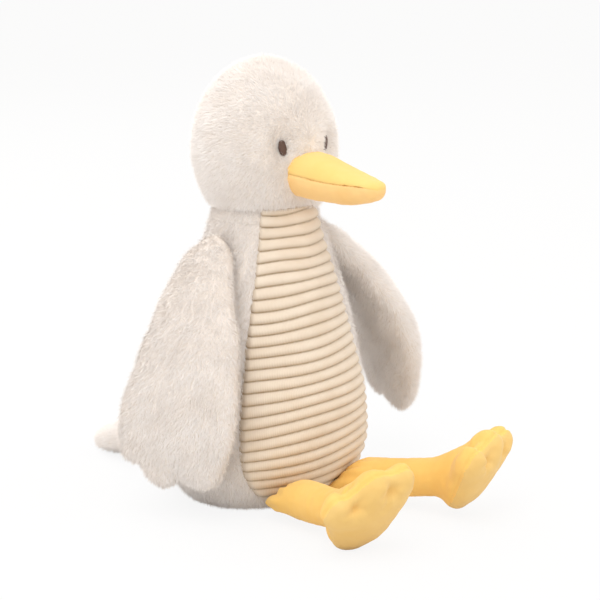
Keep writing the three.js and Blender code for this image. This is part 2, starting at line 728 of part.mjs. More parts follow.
// Tail: a rounded paddle behind the body.
function buildTail() {
  const root = TAIL_ROOT_HALF_WIDTH;
  const half = [
    [root, TAIL_ROOT_DROP],
    [TAIL_HALF_WIDTH, TAIL_LENGTH * 0.5],
    [TAIL_HALF_WIDTH * 0.6, TAIL_LENGTH * 0.88],
  ];
  const mirrored = half.map(([x, y]) => [-x, y]).reverse();
  const form = paddle({
    outline: outlineThrough([[0, 0], ...half, [0, TAIL_LENGTH], ...mirrored]),
    middle: new THREE.Vector2(0, TAIL_LENGTH * 0.5),
    crown: TAIL_CROWN,
    rim: TAIL_RIM,
    wall: TAIL_WALL,
  });
  const droop = radians(TAIL_DROOP);
  const backwards = new THREE.Vector3(0, Math.cos(droop), -Math.sin(droop));
  const upwards = new THREE.Vector3(0, Math.sin(droop), Math.cos(droop));
  const across = new THREE.Vector3(1, 0, 0);
  const hinge = bodyPoint(Math.PI, TAIL_SEAM_Z);
  hinge.y += TAIL_ROOT_RADIUS + BODY_CLEARANCE;
  const start = hinge.addScaledVector(backwards, -TAIL_ROOT_RADIUS);
  const frame = new THREE.Matrix4().makeBasis(across, backwards, upwards).setPosition(start);
  const fitted = (geometry) => cut(place(geometry, frame), bodyOutside);
  return group(
    piece('tail_upper', fitted(form.upper), furMaterial),
    piece('tail_lower', fitted(form.lower), furMaterial),
    piece('tail_wadding', fitted(form.fill), fillMaterial),
  );
}

export default group(
  buildBody(),
  buildNeck(),
  buildHead(),
  buildWing('left', 1, LEFT_WING_SPREAD, LEFT_WING_SWING),
  buildWing('right', -1, RIGHT_WING_SPREAD, RIGHT_WING_SWING),
  buildLeg('left', 1, LEFT_LEG_SPLAY),
  buildLeg('right', -1, RIGHT_LEG_SPLAY),
  buildTail(),
);
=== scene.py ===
"""Looks of a sitting plush goose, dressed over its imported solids.

Metres, +Z up. The goose faces -Y and its left side is +X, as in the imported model. Plain sizes in the classes
are millimetres and degrees, and MM turns millimetres into metres.
"""

import json
import logging
import math
from collections.abc import Callable
from dataclasses import dataclass, field
from enum import Enum

import bpy
import numpy as np
from mathutils import Matrix, Vector


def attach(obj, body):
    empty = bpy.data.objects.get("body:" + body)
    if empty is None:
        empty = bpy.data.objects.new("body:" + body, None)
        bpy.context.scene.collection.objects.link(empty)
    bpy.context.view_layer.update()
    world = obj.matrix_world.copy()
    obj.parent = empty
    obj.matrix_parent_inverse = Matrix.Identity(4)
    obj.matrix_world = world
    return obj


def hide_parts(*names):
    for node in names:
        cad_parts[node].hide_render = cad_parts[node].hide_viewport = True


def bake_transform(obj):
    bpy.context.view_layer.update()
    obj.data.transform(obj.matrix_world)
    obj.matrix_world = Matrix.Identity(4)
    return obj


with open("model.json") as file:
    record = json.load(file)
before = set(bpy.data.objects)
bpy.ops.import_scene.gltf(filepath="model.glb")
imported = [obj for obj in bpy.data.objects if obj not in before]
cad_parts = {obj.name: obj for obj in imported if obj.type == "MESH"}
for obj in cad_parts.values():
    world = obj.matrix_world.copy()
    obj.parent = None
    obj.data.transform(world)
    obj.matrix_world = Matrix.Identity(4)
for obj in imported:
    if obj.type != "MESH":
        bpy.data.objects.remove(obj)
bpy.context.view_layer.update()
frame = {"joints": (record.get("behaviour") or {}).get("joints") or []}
LOG = logging.getLogger("goose")
MM = 0.001
UP = np.array([0.0, 0.0, 1.0])
# Attribute with each hair's random tone and the painted shade at its root.
HAIR_TONE_AND_ROOT_SHADE = "hair_tone"
# Attribute with the share of painted shade in the belly's grooves.
GROOVE_SHADE_SHARE = "groove_tone"
STITCH_MAP = "stitches"

Array = np.ndarray
Colour = tuple[float, float, float, float]


class Side(Enum):
    """Side of the goose, as seen from the goose itself."""

    LEFT = 1
    RIGHT = -1

    @property
    def word(self) -> str:
        """Name of the side in the frame's bodies and nodes."""
        return self.name.lower()


def unit(vectors: Array) -> Array:
    """Vectors of length one, along the last axis."""
    return vectors / np.maximum(np.linalg.norm(vectors, axis=-1, keepdims=True), 1e-12)


def turns(count: int) -> Array:
    """Even angles around a full turn."""
    return np.arange(count) / count * 2 * math.pi


def smoothstep(low: float, high: float, values: Array) -> Array:
    """Eased share of the way from low to high."""
    share = np.clip((values - low) / (high - low), 0, 1)
    return share * share * (3 - 2 * share)


def through(knots: list[list[float]], places: Array) -> Array:
    """Smooth curve through knots.

    Args:
        knots: Rows of a place followed by the values there.
        places: Places at which the curve is read.

    Returns:
        One row of values for each place.
    """
    table = np.array(knots, float)
    spots, values = table[:, 0], table[:, 1:]
    slopes = np.gradient(values, spots, axis=0)
    left = np.clip(np.searchsorted(spots, places) - 1, 0, len(spots) - 2)
    step = (spots[left + 1] - spots[left])[:, None]
    share = np.clip((places - spots[left])[:, None] / step, 0, 1)
    rise = share * share * (3 - 2 * share)
    start = share * (1 - share) ** 2
    end = share * share * (share - 1)
    bend = step * (slopes[left] * start + slopes[left + 1] * end)
    return values[left] * (1 - rise) + values[left + 1] * rise + bend


def closed_curve(points: list[list[float]], count: int) -> Array:
    """Smooth closed line through a few points.

    Args:
        points: Points that the line goes through.
        count: How many points the line gets.

    Returns:
        The points of the line.
    """
    ring = np.array(points, float)
    spots = np.arange(count) / count * len(ring)
    at = spots.astype(int)
    share = (spots - at)[:, None]
    a, b, c, d = (ring[(at + shift) % len(ring)] for shift in (-1, 0, 1, 2))
    square = 2 * a - 5 * b + 4 * c - d
    cubic = 3 * (b - c) + d - a
    return b + 0.5 * share * (c - a + share * (square + share * cubic))


def waves(points: Array, pitch: float, seed: int, count: int = 5) -> Array:
    """Soft uneven pattern from about -1 to 1, made of a few crossing waves.

    Args:
        points: Points in metres.
        pitch: Rough distance between two humps, in metres.
        seed: Number that picks the waves.
        count: How many waves are added up.

    Returns:
        One value for each point.
    """
    draw = np.random.default_rng(seed)
    aim = unit(draw.normal(size=(count, 3)))
    turn = draw.uniform(0, 2 * math.pi, count)
    size = draw.uniform(0.7, 1.4, count)
    return np.sin(points @ (aim * size[:, None]).T * (2 * math.pi / pitch) + turn).mean(axis=1) * 1.6


def lathe(radius: Array, level: Array, around: Array) -> Array:
    """Rings around the upright axis.

    Args:
        radius: Radius of each ring in millimetres.
        level: Height of each ring in millimetres.
        around: Angles from the front.

    Returns:
        Rows of rings of points in metres.
    """
    flat = [np.outer(radius, np.sin(around)), np.outer(radius, -np.cos(around))]
    return np.stack([*flat, np.outer(level, np.ones(len(around)))], axis=-1) * MM


def placed(local: Array, start: Array, ways: tuple[Array, Array, Array]) -> Array:
    """Points in metres, from millimetres along three ways.

    Args:
        local: Points in millimetres along the three ways.
        start: Place in metres that they are counted from.
        ways: The three ways.

    Returns:
        The points in metres.
    """
    first, second, third = ways
    return start + (local[..., :1] * first + local[..., 1:2] * second + local[..., 2:] * third) * MM


def combed(way: Array) -> Callable[[Array], Array]:
    """Comb that runs the same way all over a piece."""
    return lambda at: np.tile(way, (len(at), 1))


def mesh_object(name: str, points: Array, faces: list[tuple[int, ...]]) -> bpy.types.Object:
    """Smooth-shaded mesh object in the scene.

    Args:
        name: Name of the object and of its mesh.
        points: Points in metres.
        faces: Places of each face's points in the list of points.

    Returns:
        The new object.
    """
    mesh = bpy.data.meshes.new(name)
    mesh.from_pydata(points.tolist(), [], faces)
    mesh.update()
    mesh.shade_smooth()
    made = bpy.data.objects.new(name, mesh)
    bpy.context.scene.collection.objects.link(made)
    return made


def ring_body(name: str, rings: Array, fan: bool = True) -> bpy.types.Object:
    """Closed body from rings of points.

    Args:
        name: Name of the object.
        rings: Rows of rings, each with the same number of points.
        fan: True closes the ends with a fan to their middle, False with one flat face.

    Returns:
        The new object.
    """
    rows, count = rings.shape[:2]
    half = rows // 2
    corner = rings[half, 0]
    turn = np.cross(rings[half, 1] - corner, rings[min(half + 1, rows - 1), 0] - corner)
    if (turn * (corner - rings.reshape(-1, 3).mean(axis=0))).sum() < 0:
        rings = rings[:, ::-1]
    points = rings.reshape(-1, 3)
    here = np.arange(count)
    onward = (here + 1) % count
    faces = []
    for row in range(rows - 1):
        low, high = row * count, (row + 1) * count
        faces += list(zip(low + here, low + onward, high + onward, high + here))
    last = (rows - 1) * count
    if fan:
        points = np.vstack([points, rings[0].mean(axis=0), rings[-1].mean(axis=0)])
        foot, top = len(points) - 2, len(points) - 1
        faces += [(foot, b, a) for a, b in zip(here, onward)]
        faces += [(top, last + a, last + b) for a, b in zip(here, onward)]
    else:
        faces += [tuple(here[::-1]), tuple(last + here)]
    return mesh_object(name, points, [tuple(int(i) for i in face) for face in faces])


def mesh_points(piece: bpy.types.Object) -> tuple[Array, Array]:
    """Reads the points of a mesh piece.

    Args:
        piece: The piece.

    Returns:
        Its points and the normals there.
    """
    count = len(piece.data.vertices)
    points, normals = np.zeros(count * 3), np.zeros(count * 3, np.float32)
    piece.data.vertices.foreach_get("co", points)
    piece.data.vertex_normals.foreach_get("vector", normals)
    return points.reshape(-1, 3), normals.reshape(-1, 3).astype(float)


def move_points(piece: bpy.types.Object, points: Array) -> None:
    """Puts the points of a mesh piece at new places."""
    piece.data.vertices.foreach_set("co", points.astype(np.float32).ravel())
    piece.data.update()


def push(piece: bpy.types.Object, rise: Callable[[Array], Array]) -> None:
    """Moves the points of a mesh piece along their normals, by what rise gives at them in metres."""
    points, normals = mesh_points(piece)
    move_points(piece, points + normals * rise(points)[:, None])


def refine(piece: bpy.types.Object) -> None:
    """Divides the faces of a mesh piece once, smoothly.

    Args:
        piece: The piece, which gets a new mesh of the same name.
    """
    finer = piece.modifiers.new("finer", "SUBSURF")
    finer.levels = finer.render_levels = 1
    seen = piece.evaluated_get(bpy.context.evaluated_depsgraph_get())
    mesh = bpy.data.meshes.new_from_object(seen)
    old, name = piece.data, piece.data.name
    piece.modifiers.remove(finer)
    piece.data = mesh
    bpy.data.meshes.remove(old)
    mesh.name = name
    mesh.shade_smooth()


def join(name: str, members: list[bpy.types.Object]) -> bpy.types.Object:
    """One mesh object made of several.

    Args:
        name: Name of the new object.
        members: Objects that are joined, and removed.

    Returns:
        The new object.
    """
    points, faces = [], []
    for member in members:
        start = sum(len(block) for block in points)
        points.append(mesh_points(member)[0])
        faces += [tuple(start + i for i in face.vertices) for face in member.data.polygons]
        bpy.data.objects.remove(member)
    return mesh_object(name, np.vstack(points), faces)


def joint_place(name: str) -> tuple[Array, Array]:
    """Place and axis of a joint of the frame."""
    joint = next(item for item in frame["joints"] if item["name"] == name)
    return np.array(joint["pos_m"]), np.array(joint["axis"])


def linear(red: int, green: int, blue: int) -> Colour:
    """Shader colour of a screen colour from 0 to 255."""
    shares = [part / 255 for part in (red, green, blue)]
    return (*[part / 12.92 if part < 0.04045 else ((part + 0.055) / 1.055) ** 2.4 for part in shares], 1.0)


class NodeKit:
    """Adds and links nodes of one node tree."""

    def __init__(self, tree: bpy.types.NodeTree) -> None:
        """Keeps the tree."""
        self.tree = tree

    def add(self, kind: str, **values: object) -> bpy.types.Node:
        """New node with some of its settings.

        Args:
            kind: Type of the node.
            values: Settings of the node by name.

        Returns:
            The node.
        """
        node = self.tree.nodes.new(kind)
        for key, value in values.items():
            setattr(node, key, value)
        return node

    def link(self, source: bpy.types.NodeSocket, target: bpy.types.NodeSocket) -> None:
        """Links an output to an input."""
        self.tree.links.new(source, target)

    def mix(self, factor: object, first: object, second: object, how: str = "MIX") -> bpy.types.NodeSocket:
        """Mixed colour of two sockets or colours.

        Args:
            factor: Socket or number with the share of the second colour.
            first: Socket or colour at no share.
            second: Socket or colour at full share.
            how: Name of the way of mixing.

        Returns:
            The socket with the mixed colour.
        """
        node = self.add("ShaderNodeMix", data_type="RGBA", blend_type=how)
        for socket, value in ((node.inputs[0], factor), (node.inputs[6], first), (node.inputs[7], second)):
            if isinstance(value, bpy.types.NodeSocket):
                self.link(value, socket)
            else:
                socket.default_value = value
        return node.outputs[2]


def cloth_tone_group() -> bpy.types.NodeTree:
    """Shared node group with the uneven tone and the fine relief of cloth, built once.

    Returns:
        The node group.
    """
    name = "cloth_tone"
    if name in bpy.data.node_groups:
        return bpy.data.node_groups[name]
    tree = bpy.data.node_groups.new(name, "ShaderNodeTree")
    face = tree.interface
    for label in ("Light", "Shade"):
        face.new_socket(label, in_out="INPUT", socket_type="NodeSocketColor")
    for label in ("Patch", "Thread"):
        face.new_socket(label, in_out="INPUT", socket_type="NodeSocketFloat")
    face.new_socket("Colour", in_out="OUTPUT", socket_type="NodeSocketColor")
    face.new_socket("Relief", in_out="OUTPUT", socket_type="NodeSocketFloat")
    kit = NodeKit(tree)
    given = kit.add("NodeGroupInput")
    result = kit.add("NodeGroupOutput")
    place = kit.add("ShaderNodeTexCoord")
    patch = kit.add("ShaderNodeTexNoise")
    patch.inputs["Detail"].default_value = 3
    thread = kit.add("ShaderNodeTexNoise")
    thread.inputs["Detail"].default_value = 2
    for texture, scale in ((patch, "Patch"), (thread, "Thread")):
        kit.link(place.outputs["Object"], texture.inputs["Vector"])
        kit.link(given.outputs[scale], texture.inputs["Scale"])
    spread = kit.add("ShaderNodeMapRange")
    spread.inputs["From Min"].default_value = 0.32
    spread.inputs["From Max"].default_value = 0.68
    kit.link(patch.outputs["Fac"], spread.inputs["Value"])
    colour = kit.mix(spread.outputs["Result"], given.outputs["Light"], given.outputs["Shade"])
    kit.link(colour, result.inputs["Colour"])
    kit.link(thread.outputs["Fac"], result.inputs["Relief"])
    return tree


@dataclass(frozen=True)
class Cloth:
    """Finish of a cloth: two near tones, a patch size and a fine relief."""

    name: str
    light: Colour
    shade: Colour
    patch: float = 40.0
    thread: float = 900.0
    relief: float = 0.3
    roughness: float = 0.92
    sheen: float = 0.25

    def material(self) -> bpy.types.Material:
        """Material of the cloth, built once.

        Returns:
            The material.
        """
        if self.name in bpy.data.materials:
            return bpy.data.materials[self.name]
        made = bpy.data.materials.new(self.name)
        made.use_nodes = True
        kit = NodeKit(made.node_tree)
        shader = made.node_tree.nodes["Principled BSDF"]
        shader.inputs["Roughness"].default_value = self.roughness
        shader.inputs["Specular IOR Level"].default_value = 0.2
        shader.inputs["Sheen Weight"].default_value = self.sheen
        tone = kit.add("ShaderNodeGroup", node_tree=cloth_tone_group())
        tone.inputs["Light"].default_value = self.light
        tone.inputs["Shade"].default_value = self.shade
        tone.inputs["Patch"].default_value = self.patch
        tone.inputs["Thread"].default_value = self.thread
        kit.link(self.colour(kit, tone), shader.inputs["Base Color"])
        if self.relief:
            bump = kit.add("ShaderNodeBump")
            bump.inputs["Strength"].default_value = self.relief
            bump.inputs["Distance"].default_value = 0.3 * MM
            kit.link(self.height(kit, tone), bump.inputs["Height"])
            kit.link(bump.outputs["Normal"], shader.inputs["Normal"])
        return made

    def colour(self, kit: NodeKit, tone: bpy.types.Node) -> bpy.types.NodeSocket:
        """Socket with the surface colour."""
        return tone.outputs["Colour"]

    def height(self, kit: NodeKit, tone: bpy.types.Node) -> bpy.types.NodeSocket:
        """Socket with the height of the relief."""
        return tone.outputs["Relief"]


@dataclass(frozen=True)
class PileCloth(Cloth):
    """Finish of plush: each hair keeps its own random tone, with painted shade at its root that makes it darker
    than at the tip.
    """

    def colour(self, kit: NodeKit, tone: bpy.types.Node) -> bpy.types.NodeSocket:
        """Cloth tone times the tone painted along each hair: its random tone and the painted shade at its root.
        """
        painted = kit.add("ShaderNodeAttribute", attribute_name=HAIR_TONE_AND_ROOT_SHADE)
        return kit.mix(1.0, tone.outputs["Colour"], painted.outputs["Color"], "MULTIPLY")


@dataclass(frozen=True)
class RibbedCloth(Cloth):
    """Finish of ribbed knit: fine stitches across each rib, with painted shade in the grooves."""

    # Colour of the painted shade in the grooves between the ribs.
    groove: Colour = linear(164, 138, 104)
    knit_shade: float = 0.10

    def colour(self, kit: NodeKit, tone: bpy.types.Node) -> bpy.types.NodeSocket:
        """Cloth tone with painted shade between the fine stitches, going over to the colour of the painted
        groove shade between the ribs.

        Args:
            kit: Kit of the material's node tree.
            tone: Node with the cloth's tone.

        Returns:
            The socket with the colour.
        """
        painted = kit.add("ShaderNodeAttribute", attribute_name=GROOVE_SHADE_SHARE)
        # Painted shade: the fine stitches' relief darkens the tone towards the groove shade colour.
        faint = kit.add("ShaderNodeMath", operation="MULTIPLY")
        faint.inputs[1].default_value = self.knit_shade
        kit.link(self.height(kit, tone), faint.inputs[0])
        knit = kit.mix(faint.outputs[0], tone.outputs["Colour"], self.groove)
        return kit.mix(painted.outputs["Fac"], knit, self.groove)

    def height(self, kit: NodeKit, tone: bpy.types.Node) -> bpy.types.NodeSocket:
        """Rows of fine stitches along the rib.

        Args:
            kit: Kit of the material's node tree.
            tone: Node with the cloth's tone; not used, as the stitches replace its relief.

        Returns:
            The socket with the height.
        """
        chart = kit.add("ShaderNodeUVMap", uv_map=STITCH_MAP)
        rows = kit.add("ShaderNodeTexWave", bands_direction="X")
        rows.inputs["Scale"].default_value = 1.0
        rows.inputs["Distortion"].default_value = 0.4
        kit.link(chart.outputs["UV"], rows.inputs["Vector"])
        return rows.outputs["Fac"]


PLUSH_GROUND = Cloth("plush_ground", linear(240, 231, 222), linear(234, 224, 214), 60, 700, 0.4)
PLUSH = PileCloth("plush_pile", linear(253, 248, 244), linear(248, 241, 235), 55, 700, 0.0)
RIBBED = RibbedCloth("ribbed_knit", linear(235, 221, 203), linear(229, 213, 193), 70, 900, 0.35)
YELLOW = Cloth("yellow_leg_cloth", linear(250, 205, 118), linear(247, 198, 108), 45, 1200, 0.25, 0.8, 0.15)
SOLE = Cloth("sole_cloth", linear(238, 200, 126), linear(233, 193, 116), 45, 1200, 0.25, 0.8, 0.15)
BEAK_UPPER = Cloth("beak_upper_cloth", linear(249, 208, 128), linear(247, 203, 118), 45, 1200, 0.25, 0.8, 0.15)
BEAK_LOWER = Cloth("beak_lower_cloth", linear(250, 208, 140), linear(247, 200, 128), 45, 1200, 0.25, 0.8, 0.15)
SEAM_THREAD = Cloth("seam_thread", linear(226, 160, 62), linear(214, 148, 52), 200, 1500, 0.2, 0.7, 0.1)
EYE_THREAD = Cloth("eye_satin", linear(104, 82, 72), linear(86, 66, 58), 300, 1800, 0.5, 0.8, 0.1)


@dataclass(frozen=True)
class Pile:
    """Short hair of plush, laid over a piece."""

    seed: int
    per_mm2: float = 2.3
    length: float = 4.2 * MM
    width: float = 0.42 * MM
    sunk: float = 0.3 * MM
    lowest: float = 0.3 * MM
    lift: float = 34.0
    lift_spread: float = 11.0
    swirl: float = 16.0
    swirl_spread: float = 22.0
    # Share of the tip's tone at the root of each hair: painted shade for the depth of the pile.
    root_tone: float = 0.93

    def grow(self, piece: bpy.types.Object, comb: Callable[[Array], Array],
             keep: Callable[[Array], Array] | None = None) -> bpy.types.Object:
        """Hairs rooted all over a piece.

        Args:
            piece: Mesh piece that carries the hair.
            comb: Gives the way the hair is combed at some points.
            keep: Gives a share from 0 to 1 of hair to keep at some points.

        Returns:
            The new object, parented to the piece.
        """
        draw = np.random.default_rng(self.seed)
        roots, normals = self.scatter(piece, draw)
        if keep is not None:
            kept = draw.uniform(size=len(roots)) < keep(roots)
            roots, normals = roots[kept], normals[kept]
        count = len(roots)
        eddies = self.swirl * waves(roots, 30 * MM, self.seed + 1)
        swirl = np.radians(eddies + draw.normal(0, self.swirl_spread, count))[:, None]
        way = comb(roots)
        way = unit(way - normals * (way * normals).sum(axis=1, keepdims=True))
        side = np.cross(normals, way)
        cos, sin = np.cos(swirl), np.sin(swirl)
        way, side = way * cos + side * sin, side * cos - way * sin
        lift = np.radians(self.lift + draw.normal(0, self.lift_spread, count))[:, None]
        aim = way * np.cos(lift) + normals * np.sin(lift)
        long = self.length * draw.uniform(0.7, 1.2, (count, 1))
        half = self.width / 2 * draw.uniform(0.7, 1.3, (count, 1))
        start = roots - normals * self.sunk
        hairs = np.stack([start - side * half, start + side * half, start + aim * long], axis=1)
        points = hairs.reshape(-1, 3)
        points[:, 2] = np.maximum(points[:, 2], self.lowest)
        corners = np.arange(count * 3).reshape(-1, 3)
        hair = mesh_object(f"{piece.name}_pile", points, corners.tolist())
        tone = draw.uniform(0.965, 1.03, count) + 0.018 * waves(roots, 9 * MM, self.seed + 2)
        # Painted shade: the two root corners of each hair are darker than its tip; the random tone itself is
        # the hair's own.
        shade = np.stack([tone * self.root_tone, tone * self.root_tone, tone], axis=1).ravel()
        paint = hair.data.attributes.new(HAIR_TONE_AND_ROOT_SHADE, "FLOAT_COLOR", "POINT")
        paint.data.foreach_set("color", np.repeat(shade, 4).astype(np.float32))
        hair.data.materials.append(PLUSH.material())
        hair.parent = piece
        return hair

    def scatter(self, piece: bpy.types.Object, draw: np.random.Generator) -> tuple[Array, Array]:
        """Random points all over a piece.

        Args:
            piece: Mesh piece that carries the hair.
            draw: Source of the random numbers.

        Returns:
            Points of the piece's surface and the normals there.
        """
        mesh = piece.data
        mesh.calc_loop_triangles()
        corners = np.zeros(len(mesh.loop_triangles) * 3, np.int32)
        mesh.loop_triangles.foreach_get("vertices", corners)
        corners = corners.reshape(-1, 3)
        points, normals = mesh_points(piece)
        a, b, c = (points[corners[:, k]] for k in range(3))
        area = np.linalg.norm(np.cross(b - a, c - a), axis=1) / 2
        count = int(area.sum() / MM ** 2 * self.per_mm2)
        face = draw.choice(len(area), count, p=area / area.sum())
        u, v = draw.uniform(size=(2, count, 1))
        flip = u + v > 1
        u, v = np.where(flip, 1 - u, u), np.where(flip, 1 - v, v)
        place = a[face] + u * (b[face] - a[face]) + v * (c[face] - a[face])
        na, nb, nc = (normals[corners[face, k]] for k in range(3))
        return place, unit(na + u * (nb - na) + v * (nc - na))


def dress(piece: bpy.types.Object, body: str, nodes: list[str], cloth: Cloth,
          bend: tuple[str, Array, Array] | None = None) -> None:
    """Gives a piece its cloth, attaches it to its body unless it has a bend, and hides the solids that it
    stands for.

    Args:
        piece: The piece.
        body: Body of the frame that it rides on.
        nodes: Solids of the frame that it stands for.
        cloth: Its finish.
        bend: Body that holds its root, and the places where its bend starts and ends, or None if it is stiff.
            Only whether it is given is read: the body and places are not used, and a piece with a bend gets its
            placing baked into its points instead of its body.
    """
    piece.data.materials.clear()
    piece.data.materials.append(cloth.material())
    if bend:
        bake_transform(piece)
    else:
        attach(piece, body)
    if nodes:
        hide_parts(*nodes)
    LOG.info("%s rides on %s", piece.name, body)


def stitches(name: str, places: Array, along: Array, out: Array, length: float,
             width: float) -> bpy.types.Object:
    """Row of short sewn stitches as small pads.

    Args:
        name: Name of the object.
        places: Middle of each stitch.
        along: Way that each stitch runs.
        out: Way out of the cloth at each stitch.
        length: Length of a stitch.
        width: Width of a stitch.

    Returns:
        The new object.
    """
    across = unit(np.cross(along, out))
    steps = np.array([-1.0, -0.55, 0.0, 0.55, 1.0])
    count = 6
    around = turns(count)
    thick = np.sqrt(np.clip(1.04 - steps ** 2, 0, 1)) * width / 2
    points, faces = [], []
    for place, way, turn, rise in zip(places, unit(along), across, unit(out)):
        start = len(points) * len(steps) * count
        ring = [place + way * step * length / 2 + np.outer(np.cos(around), turn * size)
                + np.outer(np.sin(around), rise * size) for step, size in zip(steps, thick)]
        points.append(np.vstack(ring))
        for row in range(len(steps) - 1):
            for k in range(count):
                a, b = start + row * count + k, start + row * count + (k + 1) % count
                faces.append((a, b, b + count, a + count))
        last = start + (len(steps) - 1) * count
        faces.append(tuple(start + k for k in range(count))[::-1])
        faces.append(tuple(last + k for k in range(count)))
    return mesh_object(name, np.vstack(points), faces)


@dataclass
class Torso:
    """Body of the goose: furry back and base, and a ribbed belly.

    A row of stations is a height, the half width there, and the depth in front and behind. A row of
    belly_angles is a height, the half angle of the belly panel there, and the angle of its middle. A row of
    base_rings is a height under the body and the share of its width there.
    """

    stations: list[list[float]] = field(default_factory=lambda: [
        [0, 54, 42, 56], [24, 71, 55, 74], [62, 73, 59, 72], [110, 63, 53, 60], [150, 50, 46, 47],
        [182, 38, 38, 38], [190, 36, 36, 36], [198, 32.5, 32.5, 32.5]])
    belly_angles: list[list[float]] = field(default_factory=lambda: [
        [0, 31, 0], [14, 41, -1], [30, 46, -2], [54, 47.5, -3], [98, 43.5, -6.5], [150, 39, -9.5],
        [182, 36.5, -11], [198, 36, -11]])
    base_rings: list[list[float]] = field(default_factory=lambda: [
        [0.8, 0.3], [0.8, 0.7], [0.8, 0.93], [1.6, 0.985], [4.0, 1.0]])
    base_top: float = 8.0
    neck_z: float = 182.0
    dome_radius: float = 34.0
    fur_inset: float = 2.2
    lump: float = 0.7
    rib_pitch: float = 7.1
    rib_height: float = 2.5
    rib_low: float = 10.0
    rib_top: float = 196.0
    rib_slope: float = 0.08
    panel_inset: float = 3.2

    def wall(self, angle: Array, z: Array, grow: float | Array) -> Array:
        """Points of the body's surface.

        Args:
            angle: Angles from the front.
            z: Heights in millimetres.
            grow: How far outside the surface the points lie, in millimetres.

        Returns:
            The points in metres.
        """
        side, front, back = through(self.stations, z.ravel()).T.reshape(3, *z.shape)
        depth = np.where(np.cos(angle) > 0, front, back)
        return np.stack([(side + grow) * np.sin(angle), -(depth + grow) * np.cos(angle), z], axis=-1) * MM

    def belly_span(self, z: Array) -> tuple[Array, Array]:
        """Half angle of the belly panel and angle of its middle, at heights in millimetres."""
        half, middle = np.radians(through(self.belly_angles, z.ravel())).T.reshape(2, *z.shape)
        return half, middle

    def off_belly(self, points: Array) -> Array:
        """Share of hair: none on the belly panel, under the base or inside the neck.

        Args:
            points: Points of the body.

        Returns:
            The share at each point.
        """
        z = np.clip(points[:, 2] / MM, 0, self.neck_z)
        side, front, back = through(self.stations, z).T
        depth = np.where(points[:, 1] < 0, front, back)
        half, middle = self.belly_span(z)
        angle = np.abs(np.arctan2(points[:, 0] / side, -points[:, 1] / depth) - middle)
        beside = (angle > half - 0.01) | (z < 7)
        return (beside & (points[:, 2] > 1.5 * MM) & (points[:, 2] < self.rib_top * MM)).astype(float)

    def build(self) -> None:
        """Builds the fur cover, its hair and the belly."""
        around, rows = turns(144), 70
        low, shrink = np.array(self.base_rings).T
        heights = np.concatenate([low, np.linspace(self.base_top, self.neck_z, rows)])
        ring, level = np.meshgrid(around, heights)
        wall = self.wall(ring, level, -self.fur_inset)
        wall[..., :2] *= np.concatenate([shrink, np.ones(rows)])[:, None, None]
        rise = np.radians(np.linspace(6, 84, 10))
        dome = lathe(self.dome_radius * np.cos(rise), self.neck_z + self.dome_radius * np.sin(rise), around)
        cover = ring_body("body_cover", np.concatenate([wall, dome]))
        push(cover, lambda at: self.lump * MM * waves(at, 34 * MM, 3) * smoothstep(2 * MM, 12 * MM, at[:, 2]))
        solids = ["back_left", "back_right", "base_panel", "body_stuffing", "pellet_pouch"]
        dress(cover, "body", solids, PLUSH_GROUND)
        Pile(11).grow(cover, combed(-UP), self.off_belly)
        self.build_belly()

    def build_belly(self) -> None:
        """Builds the ribbed belly panel."""
        across, up = np.meshgrid(np.linspace(-1, 1, 72), np.linspace(0, 1, 321))
        level = self.rib_low + up * (self.rib_top - self.rib_low)
        half, middle = self.belly_span(level)
        angle = half * across + middle
        sway = 0.55 * np.sin(across * 2.6 + level / 13) + 0.25 * np.sin(across * 5.1 - level / 9)
        reach = half * through(self.stations, level.ravel())[:, 0].reshape(level.shape)
        phase = ((level - self.rib_slope * reach * across + sway) / self.rib_pitch) % 1
        round_rib = np.sin(math.pi * phase ** 0.85) ** 0.55
        edge = smoothstep(0, 0.08, 1 - np.abs(across))
        ends = smoothstep(0, 0.012, up) * smoothstep(0, 0.012, 1 - up)
        grow = self.rib_height * (round_rib - 0.3) * (0.3 + 0.7 * edge) - 2.2 * (1 - edge) - 2.4 * (1 - ends)
        outer = self.wall(angle, level, grow)
        inner = self.wall(angle, level, -self.panel_inset)
        belly = ring_body("belly_cover", np.concatenate([outer, inner[:, ::-1]], axis=1), fan=False)
        self.paint_ribs(belly, phase, edge, angle, up)
        dress(belly, "body", ["belly_panel"], RIBBED)

    def paint_ribs(self, belly: bpy.types.Object, phase: Array, edge: Array, angle: Array, up: Array) -> None:
        """Paints shade into the grooves, onto the lower side of each rib and along the side seams, and lays out
        the stitches of the ribs.

        Args:
            belly: The belly panel.
            phase: Share of the way up each rib, on the outer face.
            edge: Share from 0 at the side seams to 1 on the panel.
            angle: Angle of each outer point from the front.
            up: Share of the panel's height at each outer point.
        """
        # Painted shade: a dark line in each groove, a soft shade on the lower side of each rib and more towards
        # the side seams; the panel's inside is all groove shade.
        line = 0.66 * np.exp(-(phase / 0.11) ** 2) + 0.5 * np.exp(-((1 - phase) / 0.06) ** 2)
        under = 0.3 * np.exp(-(phase / 0.34) ** 2)
        painted_shade = np.clip(line + under + 0.25 * (1 - edge), 0, 0.9)
        both = np.concatenate([painted_shade, np.ones_like(painted_shade)], axis=1).ravel()
        paint = belly.data.attributes.new(GROOVE_SHADE_SHARE, "FLOAT", "POINT")
        paint.data.foreach_set("value", both.astype(np.float32))
        chart = belly.data.uv_layers.new(name=STITCH_MAP)
        flat = np.stack([np.concatenate([angle * 19, angle[:, ::-1] * 19], axis=1).ravel(),
                         np.concatenate([up * 8, up * 8], axis=1).ravel()], axis=1)
        corner = np.zeros(len(belly.data.loops), np.int32)
        belly.data.loops.foreach_get("vertex_index", corner)
        chart.data.foreach_set("uv", flat[corner].astype(np.float32).ravel())


